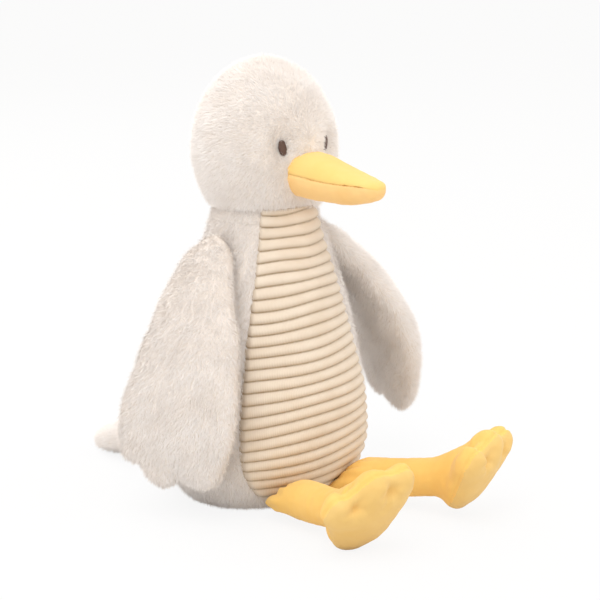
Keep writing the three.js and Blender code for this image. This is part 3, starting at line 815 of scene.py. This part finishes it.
@dataclass
class Head:
    """Head of the goose with its neck roll, eyes and beak.

    A row of profile is a share of the way up, then the radius and the height there. A row of beak_stations
    is a reach from the neck's axis, then the half width and the heights of the top, the seam and the underside.
    """

    neck_z: float = 182.0
    neck_radius: float = 35.0
    profile: list[list[float]] = field(default_factory=lambda: [
        [0.0, 28.0, 192.6], [0.05, 32.4, 192.9], [0.1, 35.0, 194.6], [0.17, 37.8, 199.4], [0.25, 40.8, 205.6],
        [0.34, 43.6, 213.4], [0.47, 46.2, 228.0], [0.59, 44.4, 244.0], [0.71, 38.6, 259.5], [0.82, 30.0, 272.0],
        [0.91, 18.6, 281.0], [0.97, 8.0, 285.2], [1.0, 0.6, 286.2]])
    lump: float = 0.6
    eye_angle: float = 26.4
    eye_lean: float = 9.0
    eye_z: float = 234.0
    eye_width: float = 5.0
    eye_height: float = 9.8
    dimple_depth: float = 6.4
    dimple_radius: float = 9.6
    beak_z: float = 216.0
    beak_stations: list[list[float]] = field(default_factory=lambda: [
        [30, 15.5, 230.5, 217.5, 202.0], [42, 16.2, 231.0, 217.5, 201.5], [52, 16.0, 230.0, 216.8, 201.0],
        [64, 15.2, 227.3, 215.7, 200.8], [76, 13.8, 224.0, 215.2, 201.0], [88, 11.8, 221.0, 215.2, 202.5],
        [97, 9.4, 219.0, 215.0, 204.8], [103, 6.6, 217.0, 214.2, 207.5], [105.4, 3.2, 215.2, 213.4, 210.4]])

    def eye_spot(self, side: Side) -> Array:
        """Place of an eye on the head before its dimple.

        Args:
            side: Side of the eye.

        Returns:
            The place in metres.
        """
        angle = side.value * math.radians(self.eye_angle)
        reach = np.interp(self.eye_z, [row[2] for row in self.profile], [row[1] for row in self.profile])
        return np.array([reach * math.sin(angle), -reach * math.cos(angle), self.eye_z]) * MM

    def dimple(self, points: Array) -> Array:
        """Depth of the eye dimples and of the pinch around the beak.

        Args:
            points: Points of the head.

        Returns:
            The depth at each point in metres.
        """
        depth = np.zeros(len(points))
        for side in Side:
            gap = points - self.eye_spot(side)
            gap[:, 2] *= 0.7
            far = np.linalg.norm(gap, axis=1) / (self.dimple_radius * MM)
            depth += self.dimple_depth * MM * np.exp(-far ** 2)
        beak = (points - np.array([0, -44, self.beak_z]) * MM) / np.array([20, 12, 20]) / MM
        return depth + 2.2 * MM * np.exp(-(beak ** 2).sum(axis=1) * 1.1)

    def build(self) -> None:
        """Builds the neck roll, the head, its hair, the eyes and the beak."""
        self.build_neck()
        radius, level = through(self.profile, np.linspace(0, 1, 72)).T
        head = ring_body("head_cover", lathe(radius, level, turns(128)))
        push(head, lambda at: self.lump * MM * waves(at, 30 * MM, 5) - self.dimple(at))
        dress(head, "head", ["head_left", "head_right", "head_stuffing"], PLUSH_GROUND)
        Pile(21).grow(head, self.comb, self.off_face)
        for side in Side:
            self.build_eye(side)
        self.build_beak()

    def comb(self, points: Array) -> Array:
        """Hair of the head runs back from the face and down."""
        away = unit(points - np.array([0, -60, 225]) * MM)
        return away - 0.7 * UP + 0.25 * np.array([0, 1.0, 0])

    def off_face(self, points: Array) -> Array:
        """Share of hair: none under the eyes, the beak or inside the neck.

        Args:
            points: Points of the head.

        Returns:
            The share at each point.
        """
        share = (points[:, 2] > 192.8 * MM).astype(float)
        for side in Side:
            gap = (points - self.eye_spot(side)) / np.array([1, 1, 1.7])
            share *= np.linalg.norm(gap, axis=1) > 2.9 * MM
        beak = (points[:, [0, 2]] - np.array([0, self.beak_z]) * MM) / np.array([15.0, 14.0]) / MM
        return share * ~((np.linalg.norm(beak, axis=1) < 1) & (points[:, 1] < 0))

    def build_neck(self) -> None:
        """Builds the furry roll on which the head turns."""
        rise = np.radians(np.linspace(4, 80, 24))
        level = self.neck_z + self.neck_radius * np.sin(rise)
        roll = ring_body("neck_roll", lathe(self.neck_radius * np.cos(rise), level, turns(96)))
        dress(roll, "neck", ["neck_stuffing"], PLUSH_GROUND)
        short = Pile(31, per_mm2=1.2, length=3.2 * MM)
        short.grow(roll, combed(-UP), lambda at: (at[:, 2] < 200 * MM).astype(float))

    def build_eye(self, side: Side) -> None:
        """Builds one eye of close satin stitches.

        Args:
            side: Side of the eye.
        """
        spot = self.eye_spot(side)
        out = unit(np.array([spot[0], spot[1], 0]))
        across = np.cross(UP, out)
        lean = math.radians(self.eye_lean) * side.value
        tall = UP * math.cos(lean) + across * math.sin(lean)
        across = across * math.cos(lean) - UP * math.sin(lean)
        spot = spot - out * (self.dimple_depth - 2.4) * MM
        rows, columns = 40, 14
        draw = np.random.default_rng(41 + side.value)
        level, reach = np.meshgrid(np.linspace(-1, 1, rows), np.linspace(-1, 1, columns), indexing="ij")
        ragged = 1 + 0.10 * draw.normal(size=(rows // 2, 1)).repeat(2, axis=0)
        wide = np.clip(1 - np.abs(level) ** 2.5, 0.03, 1) ** 0.45 * ragged
        ridge = np.abs(np.sin(level * math.pi * 10))
        dome = np.sqrt(np.clip(1 - level ** 2 * 0.95, 0, 1)) * np.sqrt(np.clip(1 - reach ** 2 * 0.95, 0, 1))
        rise = (0.95 * dome + 0.16 * ridge * dome) * MM
        flat = (spot + reach[..., None] * wide[..., None] * across * self.eye_width / 2 * MM
                + level[..., None] * tall * self.eye_height / 2 * MM)
        front, back = flat + rise[..., None] * out, flat - 1.5 * MM * out
        eye = ring_body(f"{side.word}_eye_stitches", np.concatenate([front, back[:, ::-1]], axis=1), fan=False)
        dress(eye, "head", [f"{side.word}_eye"], EYE_THREAD)

    def beak_rings(self, places: Array, around: Array) -> Array:
        """Rings of the beak.

        Args:
            places: Reaches of the rings in millimetres.
            around: Angles from the left seam upwards.

        Returns:
            Rows of rings of points in metres.
        """
        wide, top, seam, foot = through(self.beak_stations, places).T
        rise = np.sin(around)[None, :]
        tall = np.where(rise > 0, (top - seam)[:, None], (seam - foot)[:, None])
        full = np.sign(rise) * np.abs(rise) ** 0.92
        flare = np.sign(np.cos(around)) * np.abs(np.cos(around)) ** 0.85
        reach = -np.repeat(places[:, None], len(around), axis=1)
        return np.stack([np.outer(wide, flare), reach, seam[:, None] + tall * full], axis=-1) * MM

    def build_beak(self) -> None:
        """Builds the two halves of the beak and the seam stitches between them."""
        places = np.concatenate([np.linspace(30, 97, 44), np.linspace(98, 105.4, 12)])
        halves = (("beak_top", 0.0, 1.0, BEAK_UPPER, ["beak_upper", "beak_stuffing"]),
                  ("beak_under", math.pi, 0.995, BEAK_LOWER, ["beak_lower"]))
        for name, start, narrow, cloth, nodes in halves:
            arc = start + np.linspace(0, math.pi, 33)
            skin = self.beak_rings(places, arc)
            seam = np.minimum(np.abs(arc - arc[0]), np.abs(arc[-1] - arc))
            pinch = 0.2 / 14 * np.exp(-(seam / 0.14) ** 2)
            middle = skin.mean(axis=1, keepdims=True)
            skin = middle + (skin - middle) * (1 - pinch[None, :, None]) * np.array([narrow, 1, 1])
            half = ring_body(name, skin, fan=False)
            push(half, lambda at: 0.16 * MM * waves(at, 7 * MM, 51) + 0.25 * MM * waves(at, 24 * MM, 52))
            dress(half, "head", nodes, cloth)
        self.build_beak_stitches()

    def build_beak_stitches(self) -> None:
        """Builds the row of stitches along the beak's seam."""
        places = np.arange(46, 103, 2.6)
        row, outs = [], []
        for start in (0.0, math.pi):
            row.append(self.beak_rings(places, np.array([start]))[:, 0])
            outs.append(np.tile([math.cos(start), -0.2, 0.0], (len(places), 1)))
        line, out = np.vstack(row), np.vstack(outs)
        along = np.tile([0.0, -1.0, 0.0], (len(line), 1))
        seam = stitches("beak_stitches", line - out * 0.35 * MM, along, out, 1.5 * MM, 0.55 * MM)
        dress(seam, "head", [], SEAM_THREAD)


def paddle_rings(outline: Array, middle: Array, crown: float, rim: float, fullness: float) -> Array:
    """Rings of a stuffed pad, from the middle of one face over the rim to the middle of the other.

    Args:
        outline: Points of the pad's edge, in two directions.
        middle: Middle of the pad.
        crown: Half thickness at the middle.
        rim: Half thickness at the edge.
        fullness: How early the pad swells from its edge, from 1.

    Returns:
        Rings of points in the pad's own directions, with the thickness as the third.
    """
    share = np.array([0.04, 0.2, 0.36, 0.5, 0.62, 0.73, 0.82, 0.89, 0.94, 0.975, 0.995])
    shares = np.concatenate([share, [1.0], share[::-1]])
    face = np.concatenate([np.ones(len(share)), [0.0], -np.ones(len(share))])
    dome = rim + (crown - rim) * (1 - shares ** (2 * fullness)) ** 0.55
    flat = middle + (outline[None] - middle) * shares[:, None, None]
    tall = np.repeat((face * dome)[:, None], len(outline), axis=1)
    return np.concatenate([flat, tall[..., None]], axis=-1)


@dataclass
class Wing:
    """Scalloped wing hung from the shoulder."""

    side: Side
    spread: float
    swing: float = 0.0
    length: float = 153.0
    front: float = 40.5
    rear: float = 41.5
    root: float = 11.0
    widest: float = 118.0
    crown: float = 13.5
    rim: float = 1.2
    bow: float = 17.0
    ripple: float = 2.2
    lump: float = 0.8
    root_radius: float = 3.6
    peak: float = 8.0

    def outline(self) -> Array:
        """Edge of the wing.

        Returns:
            Points in millimetres, from front to rear and down from the shoulder.
        """
        f, r, w, n = -self.front, self.rear, self.widest, self.length
        shoulder = [[-self.root * 1.25, 4], [0, -self.peak], [self.root * 1.35, 4]]
        rear_edge = [[r * 0.56, w * 0.22], [r * 0.67, w * 0.5], [r * 0.86, w * 0.76], [r, w],
                     [r * 0.94, n * 0.89]]
        scallops = [[r * 0.8, n * 0.915], [r * 0.66, n * 0.92], [r * 0.52, n * 0.975], [r * 0.34, n],
                    [r * 0.16, n * 0.99], [r * 0.03, n * 0.968], [f * 0.14, n * 0.982], [f * 0.38, n * 0.99],
                    [f * 0.62, n * 0.96], [f * 0.8, n * 0.885]]
        front_edge = [[f * 0.97, w * 0.97], [f, w * 0.79], [f * 0.86, w * 0.49], [f * 0.55, w * 0.24]]
        return closed_curve(shoulder + rear_edge + scallops + front_edge, 160)

    def directions(self) -> tuple[Array, Array, Array, Array]:
        """Works out how the wing hangs from its joint.

        Returns:
            Start of the wing, and its ways across, down and out.
        """
        hinge, axis = joint_place(f"{self.side.word}_wing_lift")
        across = -axis * self.side.value
        out = np.cross(across, UP) * self.side.value
        out = out if out[0] * self.side.value > 0 else -out
        tilt = math.radians(self.spread)
        down = out * math.sin(tilt) - UP * math.cos(tilt)
        face = out * math.cos(tilt) + UP * math.sin(tilt)
        cos, sin = math.cos(math.radians(self.swing)), math.sin(math.radians(self.swing))
        down, across = down * cos + across * sin, across * cos - down * sin
        return hinge - down * self.root_radius * MM, across, down, face

    def build(self) -> None:
        """Builds the wing and its hair."""
        start, across, down, face = self.directions()
        middle = np.array([(self.rear - self.front) / 2, self.length * 0.56])
        local = paddle_rings(self.outline(), middle, self.crown, self.rim, 1.15)
        share = np.clip(local[..., 1] / self.length, 0, 1)
        local[..., 2] += self.bow * np.sin(math.pi * share)
        local[..., 2] += self.ripple * np.sin(local[..., 0] / 17 + self.side.value) * smoothstep(0.35, 1, share)
        name = f"{self.side.word}_wing"
        wing = ring_body(name, placed(local, start, (across, down, face)))
        push(wing, lambda at: self.lump * MM * waves(at, 30 * MM, 61))
        dress(wing, name, [f"{name}_outer", f"{name}_inner", f"{name}_wadding"], PLUSH_GROUND)
        Pile(71 + self.side.value).grow(wing, combed(down))


@dataclass(frozen=True)
class LegPlaces:
    """Places and ways of one leg, in metres."""

    hip: Array
    ankle: Array
    heel: Array
    across: Array
    toes: Array
    sole: Array

    @property
    def along(self) -> Array:
        """Way from the hip to the ankle."""
        return unit(self.ankle - self.hip)

    @property
    def level(self) -> Array:
        """Level way across the tube."""
        return unit(np.cross(self.along, UP))

    @property
    def rise(self) -> Array:
        """Way up across the tube."""
        return np.cross(self.level, self.along)

    def on_foot(self, points: Array) -> list[Array]:
        """Millimetres across the foot, along the toes and out of the sole, from the heel."""
        return [(points - self.heel) @ way / MM for way in (self.across, self.toes, self.sole)]


@dataclass
class Leg:
    """Floppy leg with a webbed foot."""

    side: Side
    length: float = 70.0
    root_radius: float = 13.0
    radius: float = 12.6
    ankle_radius: float = 12.4
    ankle_height: float = 26.0
    foot_length: float = 60.0
    toe_half_width: float = 30.5
    heel_radius: float = 17.0
    crown: float = 12.5
    rim: float = 2.2
    lean: float = 32.0
    roll: float = 0.0
    inward: float = 0.0
    onward: float = 0.0
    raised: float = 0.0
    tuck: float = 0.0
    flop: float = 0.0
    flare: float = 8.0
    flare_length: float = 26.0
    tack_spots: tuple[float, float] = (-0.43, 0.35)
    tack_depth: float = 4.2
    tack_radius: float = 3.4
    seam_depth: float = 0.9
    seam_width: float = 1.1
    gathers: int = 11
    gather_depth: float = 0.8
    bend_start: float = -10.0
    bend_end: float = 14.0
    voxel: float = 1.8

    def outline(self) -> Array:
        """Edge of the foot.

        Returns:
            Points in millimetres, across the foot and up from the heel.
        """
        n, t, h = self.foot_length, self.toe_half_width, self.heel_radius
        half = [[h * 0.7, n * 0.045], [h * 1.16, n * 0.2], [h * 1.4, n * 0.4], [t * 0.94, n * 0.6],
                [t * 1.0, n * 0.78], [t * 0.82, n * 0.92], [t * 0.52, n * 0.905], [t * 0.3, n * 0.965]]
        return closed_curve([[0, 0], *half, [0, n], *[[-x, y] for x, y in half[::-1]]], 120)

    def directions(self) -> tuple[Array, Array, Array, Array, Array]:
        """Works out the ways of the leg from its joint.

        Returns:
            Hip, and the ways forward, across, along the toes and out of the sole.
        """
        hip, axis = joint_place(f"{self.side.word}_hip")
        across = -axis
        forward = np.cross(UP, across)
        forward = forward if forward[1] < 0 else -forward
        lean = math.radians(self.lean)
        toes = forward * math.sin(lean) + UP * math.cos(lean)
        sole = forward * math.cos(lean) - UP * math.sin(lean)
        cos, sin = math.cos(math.radians(self.roll)), math.sin(math.radians(self.roll))
        across, toes = across * cos + toes * sin, toes * cos - across * sin
        return hip, forward, across, toes, sole

    def lay_out(self) -> tuple[LegPlaces, Array]:
        """Sets the foot on the floor in front of the hip.

        Returns:
            Places of the leg, and the rings of its foot.
        """
        hip, forward, across, toes, sole = self.directions()
        flat = np.array([1, 1, 0])
        up = self.ankle_height / math.cos(math.radians(self.lean))
        heel = hip * flat + forward * (self.length - up * math.sin(math.radians(self.lean))) * MM
        heel = heel + (across * self.inward + forward * self.onward) * flat * MM
        middle = np.array([0, self.foot_length * 0.5])
        local = paddle_rings(self.outline(), middle, self.crown, self.rim, 1.0)
        local[..., 1] -= self.sink(local[..., 0], local[..., 1])
        rings = placed(local, heel, (across, toes, sole))
        lift = UP * ((0.4 + self.raised) * MM - rings[..., 2].min())
        heel = heel + lift
        return LegPlaces(hip, heel + toes * up * MM, heel, across, toes, sole), rings + lift

    def build(self) -> None:
        """Builds the leg with its foot as one sewn skin, then its seams and its sole."""
        places, foot = self.lay_out()
        name = f"{self.side.word}_leg"
        skin = self.smooth_union(name, [ring_body("foot_form", foot), self.tube(places)])
        push(skin, lambda at: self.tacks(at, places))
        refine(skin)
        points, normals = mesh_points(skin)
        points = points + normals * self.seams(points, normals, places)[:, None]
        points[:, 2] = np.maximum(points[:, 2], 0.2 * MM)
        move_points(skin, points)
        solids = [f"{name}_cover", f"{name}_stuffing"]
        solids += [f"{self.side.word}_foot_{part}" for part in ("sole", "upper", "stuffing")]
        start, end = (places.hip + places.along * reach * MM for reach in (self.bend_start, self.bend_end))
        dress(skin, name, solids, YELLOW, ("body", start, end))
        self.sew_sole(skin, places)

    def sew_sole(self, skin: bpy.types.Object, places: LegPlaces) -> None:
        """Gives the faces in front of the edge seam the cloth of the sole.

        Args:
            skin: Skin of the leg.
            places: Places of the leg.
        """
        faces = skin.data.polygons
        middles, out = np.zeros(len(faces) * 3), np.zeros(len(faces) * 3)
        faces.foreach_get("center", middles)
        faces.foreach_get("normal", out)
        _, y, z = places.on_foot(middles.reshape(-1, 3))
        front = (z > 0) & (out.reshape(-1, 3) @ places.sole > 0) & (y > -4) & (y < self.foot_length + 8)
        skin.data.materials.append(SOLE.material())
        faces.foreach_set("material_index", front.astype(np.int32))

    def sink(self, x: Array, y: Array) -> Array:
        """How far the outer toe hangs back at places across and along the foot, in millimetres."""
        outer = np.clip(-x / self.toe_half_width, -0.35, 1.1)
        return self.flop * outer * smoothstep(0.3, 0.9, y / self.foot_length)

    def tube(self, places: LegPlaces) -> bpy.types.Object:
        """Stuffed tube from inside the hip to inside the foot.

        Args:
            places: Places of the leg.

        Returns:
            The new object.
        """
        along = places.along
        span = np.linalg.norm(places.ankle - places.hip) / MM
        root = np.array([-19, -17, -12, -4, 8, 20]) - self.tuck
        reach = np.concatenate([root[:2], np.linspace(root[2] - 3, span + 3, 22)])
        marks = [*root, span * 0.5, span]
        shaft = [self.root_radius, self.radius, self.ankle_radius]
        wide = np.interp(reach, marks, [8, 14, 17, 17, 14.5, *shaft])
        tall = np.interp(reach, marks, [2, 3, 4.5, 9, 13, *shaft])
        spread = smoothstep(span - 1 - self.flare_length, span - 1, reach)
        lean = spread[:, None, None] * math.tan(math.radians(self.lean)) * along
        sag = -1.2 * np.sin(np.clip(reach / span, 0, 1) * math.pi)
        sag = sag - 0.4 * np.maximum(self.root_radius - tall, 0)
        turn = turns(48)
        middle = reach[:, None] * along + sag[:, None] * UP
        half_width = (wide + self.flare * 0.8 * spread)[:, None, None]
        half_height = (tall + self.flare * spread)[:, None, None]
        flat = half_width * np.cos(turn)[None, :, None] * places.level
        upright = half_height * np.sin(turn)[None, :, None] * (places.rise + lean)
        return ring_body("leg_form", places.hip + (middle[:, None] + flat + upright) * MM)

    def smooth_union(self, name: str, forms: list[bpy.types.Object]) -> bpy.types.Object:
        """One even skin over several forms.

        Args:
            name: Name of the new mesh.
            forms: Overlapping closed forms, which are removed.

        Returns:
            The new object.
        """
        rough = join(f"{name}_forms", forms)
        remesh = rough.modifiers.new("skin", "REMESH")
        remesh.mode = "VOXEL"
        remesh.voxel_size = self.voxel * MM
        ease = rough.modifiers.new("ease", "SMOOTH")
        ease.factor = 0.5
        ease.iterations = 12
        seen = rough.evaluated_get(bpy.context.evaluated_depsgraph_get())
        mesh = bpy.data.meshes.new_from_object(seen)
        bpy.data.objects.remove(rough)
        mesh.shade_smooth()
        mesh.name = name
        skin = bpy.data.objects.new(f"{name}_cloth", mesh)
        bpy.context.scene.collection.objects.link(skin)
        return skin

    def tacks(self, points: Array, places: LegPlaces) -> Array:
        """Bumps of the toes, and the sewn tacks between them with their creases.

        Args:
            points: Points of the skin.
            places: Places of the leg.

        Returns:
            How far each point moves along its normal, in metres.
        """
        x, y, _ = places.on_foot(points)
        y = y + self.sink(x, y)
        row = np.exp(-((y - self.foot_length * 0.88) / 9) ** 2)
        rise = 1.5 * np.cos(2 * math.pi * x / (0.74 * self.toe_half_width)) * row
        for spot in self.tack_spots:
            dx, dy = x - spot * self.toe_half_width, y - self.foot_length * 0.8
            far = np.hypot(dx, dy)
            rise -= self.tack_depth * np.exp(-(far / self.tack_radius) ** 2)
            creases = np.cos(5 * np.arctan2(dy, dx) + 3 * spot)
            rise += 0.6 * creases * np.exp(-((far - 6.0) / 3.5) ** 2)
        return rise * MM

    def seams(self, points: Array, normals: Array, places: LegPlaces) -> Array:
        """Edge seam of the foot, gathers at the hip and small unevenness of the cloth.

        Args:
            points: Points of the skin.
            normals: Normals there.
            places: Places of the leg.

        Returns:
            How far each point moves along its normal, in metres.
        """
        _, y, z = places.on_foot(points)
        rise = 0.16 * waves(points, 8 * MM, 81) + 0.3 * waves(points, 26 * MM, 82)
        rim = smoothstep(3, 10, y) * (y < self.foot_length + 5) * (np.abs(normals @ places.sole) < 0.6)
        rise -= self.seam_depth * np.exp(-(z / self.seam_width) ** 2) * rim
        from_hip = points - places.hip
        reach = from_hip @ places.along / MM
        spin = np.arctan2(from_hip @ places.rise, from_hip @ places.level)
        rise += self.gather_depth * np.cos(self.gathers * spin) * np.exp(-((reach + 6) / 9) ** 2)
        return rise * MM


@dataclass
class Tail:
    """Short rounded tail behind the body."""

    length: float = 95.0
    half_width: float = 32.0
    root_half_width: float = 22.0
    crown: float = 11.0
    rim: float = 2.4
    root_radius: float = 9.0
    droop: float = 14.5

    def build(self) -> None:
        """Builds the tail and its hair."""
        n, w, root = self.length, self.half_width, self.root_half_width
        half = [[root, 4], [w * 0.92, n * 0.28], [w, n * 0.52], [w * 0.86, n * 0.75], [w * 0.55, n * 0.93]]
        outline = closed_curve([[0, 0], *half, [0, n], *[[-x, y] for x, y in half[::-1]]], 120)
        hinge, across = joint_place("tail_lift")
        droop = math.radians(self.droop)
        back = np.array([0, math.cos(droop), -math.sin(droop)])
        up = np.array([0, math.sin(droop), math.cos(droop)])
        local = paddle_rings(outline, np.array([0, n * 0.5]), self.crown, self.rim, 1.2)
        rings = placed(local, hinge - back * self.root_radius * MM, (across, back, up))
        rings[..., 2] = np.maximum(rings[..., 2], 0.4 * MM)
        tail = ring_body("tail_cover", rings)
        dress(tail, "tail", ["tail_upper", "tail_lower", "tail_wadding"], PLUSH_GROUND)
        Pile(91).grow(tail, combed(back), lambda at: (at[:, 2] > 3 * MM).astype(float))


@dataclass
class Studio:
    """Pale floor, soft light and the camera.

    The scale is in pixels for each millimetre, and foot_x and foot_y are the pixel of the frame's origin.
    """

    azimuth: float = -43.0
    elevation: float = 12.0
    distance: float = 1340.0
    scale: float = 1.5
    foot_x: float = 266.0
    foot_y: float = 489.0
    picture: float = 600.0
    sensor: float = 36.0
    sky_strength: float = 0.86
    floor_glow: float = 0.88
    floor_half_width: float = 6.0

    def build(self) -> None:
        """Builds the floor, the light and the camera."""
        scene = bpy.context.scene
        scene.view_settings.view_transform = "Standard"
        self.build_camera(scene)
        self.build_world(scene)
        self.build_floor()
        self.lamp("key_light", (-1.15, -0.75, 2.0), 1.5, 18, (1.0, 0.99, 0.98))
        self.lamp("top_light", (-0.5, 0.0, 2.3), 1.4, 9, (0.94, 0.97, 1.0))
        self.lamp("fill_light", (1.5, -1.3, 0.7), 1.6, 7, (1.0, 0.975, 0.945))
        self.lamp("back_light", (0.3, 1.6, 1.5), 1.4, 9, (1.0, 0.985, 0.965))

    def build_camera(self, scene: bpy.types.Scene) -> None:
        """Camera at the photograph's angle.

        Args:
            scene: Scene that gets the camera.
        """
        a, e = math.radians(self.azimuth), math.radians(self.elevation)
        back = np.array([math.sin(a) * math.cos(e), -math.cos(a) * math.cos(e), math.sin(e)])
        right = np.array([math.cos(a), math.sin(a), 0])
        up = np.cross(back, right)
        half = self.picture / 2
        beside, above = (self.foot_x - half) / self.scale, (half - self.foot_y) / self.scale
        place = back * self.distance - right * beside - up * above
        lens = bpy.data.cameras.new("camera")
        lens.sensor_width = self.sensor
        lens.lens = self.sensor / 2 / (half / self.scale / self.distance)
        lens.clip_start, lens.clip_end = 0.05, 50
        camera = bpy.data.objects.new("camera", lens)
        turned = np.eye(4)
        turned[:3, 0], turned[:3, 1], turned[:3, 2], turned[:3, 3] = right, up, back, place * MM
        camera.matrix_world = Matrix(turned.tolist())
        scene.collection.objects.link(camera)
        scene.camera = camera

    def build_world(self, scene: bpy.types.Scene) -> None:
        """White backdrop for the camera and a soft sky for the light.

        Args:
            scene: Scene that gets the world.
        """
        world = bpy.data.worlds.new("studio")
        scene.world = world
        world.use_nodes = True
        kit = NodeKit(world.node_tree)
        sky = world.node_tree.nodes["Background"]
        sky.inputs["Color"].default_value = (1.0, 0.985, 0.97, 1)
        sky.inputs["Strength"].default_value = self.sky_strength
        drop = kit.add("ShaderNodeBackground")
        drop.inputs["Color"].default_value = (1, 1, 1, 1)
        mix = kit.add("ShaderNodeMixShader")
        kit.link(self.seen(kit), mix.inputs[0])
        kit.link(sky.outputs[0], mix.inputs[1])
        kit.link(drop.outputs[0], mix.inputs[2])
        kit.link(mix.outputs[0], world.node_tree.nodes["World Output"].inputs["Surface"])

    def seen(self, kit: NodeKit) -> bpy.types.NodeSocket:
        """Tells which rays see the backdrop.

        Args:
            kit: Kit of the node tree.

        Returns:
            The socket that is 1 for rays of the camera, of gloss and through glass.
        """
        path = kit.add("ShaderNodeLightPath")
        total = path.outputs["Is Camera Ray"]
        for label in ("Is Glossy Ray", "Is Transmission Ray"):
            most = kit.add("ShaderNodeMath", operation="MAXIMUM")
            kit.link(total, most.inputs[0])
            kit.link(path.outputs[label], most.inputs[1])
            total = most.outputs[0]
        return total

    def build_floor(self) -> None:
        """Plain pale floor that keeps a faint shadow."""
        w = self.floor_half_width
        corners = np.array([[-w, -w, 0], [w, -w, 0], [w, w, 0], [-w, w, 0]])
        floor = mesh_object("floor", corners, [(0, 1, 2, 3)])
        made = bpy.data.materials.new("pale_floor")
        made.use_nodes = True
        kit = NodeKit(made.node_tree)
        shader = made.node_tree.nodes["Principled BSDF"]
        shader.inputs["Base Color"].default_value = (0.8, 0.79, 0.78, 1)
        shader.inputs["Roughness"].default_value = 1.0
        shader.inputs["Specular IOR Level"].default_value = 0.0
        glow = kit.add("ShaderNodeEmission")
        glow.inputs["Strength"].default_value = 1.0
        mix = kit.add("ShaderNodeMixShader")
        share = kit.add("ShaderNodeMath", operation="MULTIPLY")
        share.inputs[1].default_value = self.floor_glow
        kit.link(self.seen(kit), share.inputs[0])
        kit.link(share.outputs[0], mix.inputs[0])
        kit.link(shader.outputs[0], mix.inputs[1])
        kit.link(glow.outputs[0], mix.inputs[2])
        kit.link(mix.outputs[0], made.node_tree.nodes["Material Output"].inputs["Surface"])
        floor.data.materials.append(made)

    def lamp(self, name: str, place: tuple[float, float, float], size: float, power: float,
             tint: tuple[float, float, float]) -> None:
        """Large soft lamp that looks at the goose.

        Args:
            name: Name of the lamp.
            place: Place of the lamp in metres.
            size: Width of the lamp in metres.
            power: Power of the lamp in watts.
            tint: Colour of its light.
        """
        light = bpy.data.lights.new(name, "AREA")
        light.size, light.energy = size, power
        light.color = tint
        lamp = bpy.data.objects.new(name, light)
        lamp.location = place
        aim = Vector((0, 0, 0.14)) - Vector(place)
        lamp.rotation_mode = "QUATERNION"
        lamp.rotation_quaternion = aim.to_track_quat("-Z", "Y")
        bpy.context.scene.collection.objects.link(lamp)


def main() -> None:
    """Builds the studio and every piece of the goose in order."""
    logging.basicConfig(level=logging.INFO, format="%(name)s: %(message)s")
    Studio().build()
    Torso().build()
    Head().build()
    Wing(Side.LEFT, spread=28.0, swing=13.0).build()
    Wing(Side.RIGHT, spread=17.0).build()
    Leg(Side.LEFT, lean=28.0, foot_length=55.0, ankle_height=21.0, onward=4.0, raised=6.0, tuck=7.0, flop=3.0,
        flare=10.0).build()
    Leg(Side.RIGHT, roll=8.0, ankle_height=23.0, inward=4.0, onward=3.0, flop=11.0, flare=12.0).build()
    Tail().build()


if __name__ == "__main__":
    main()
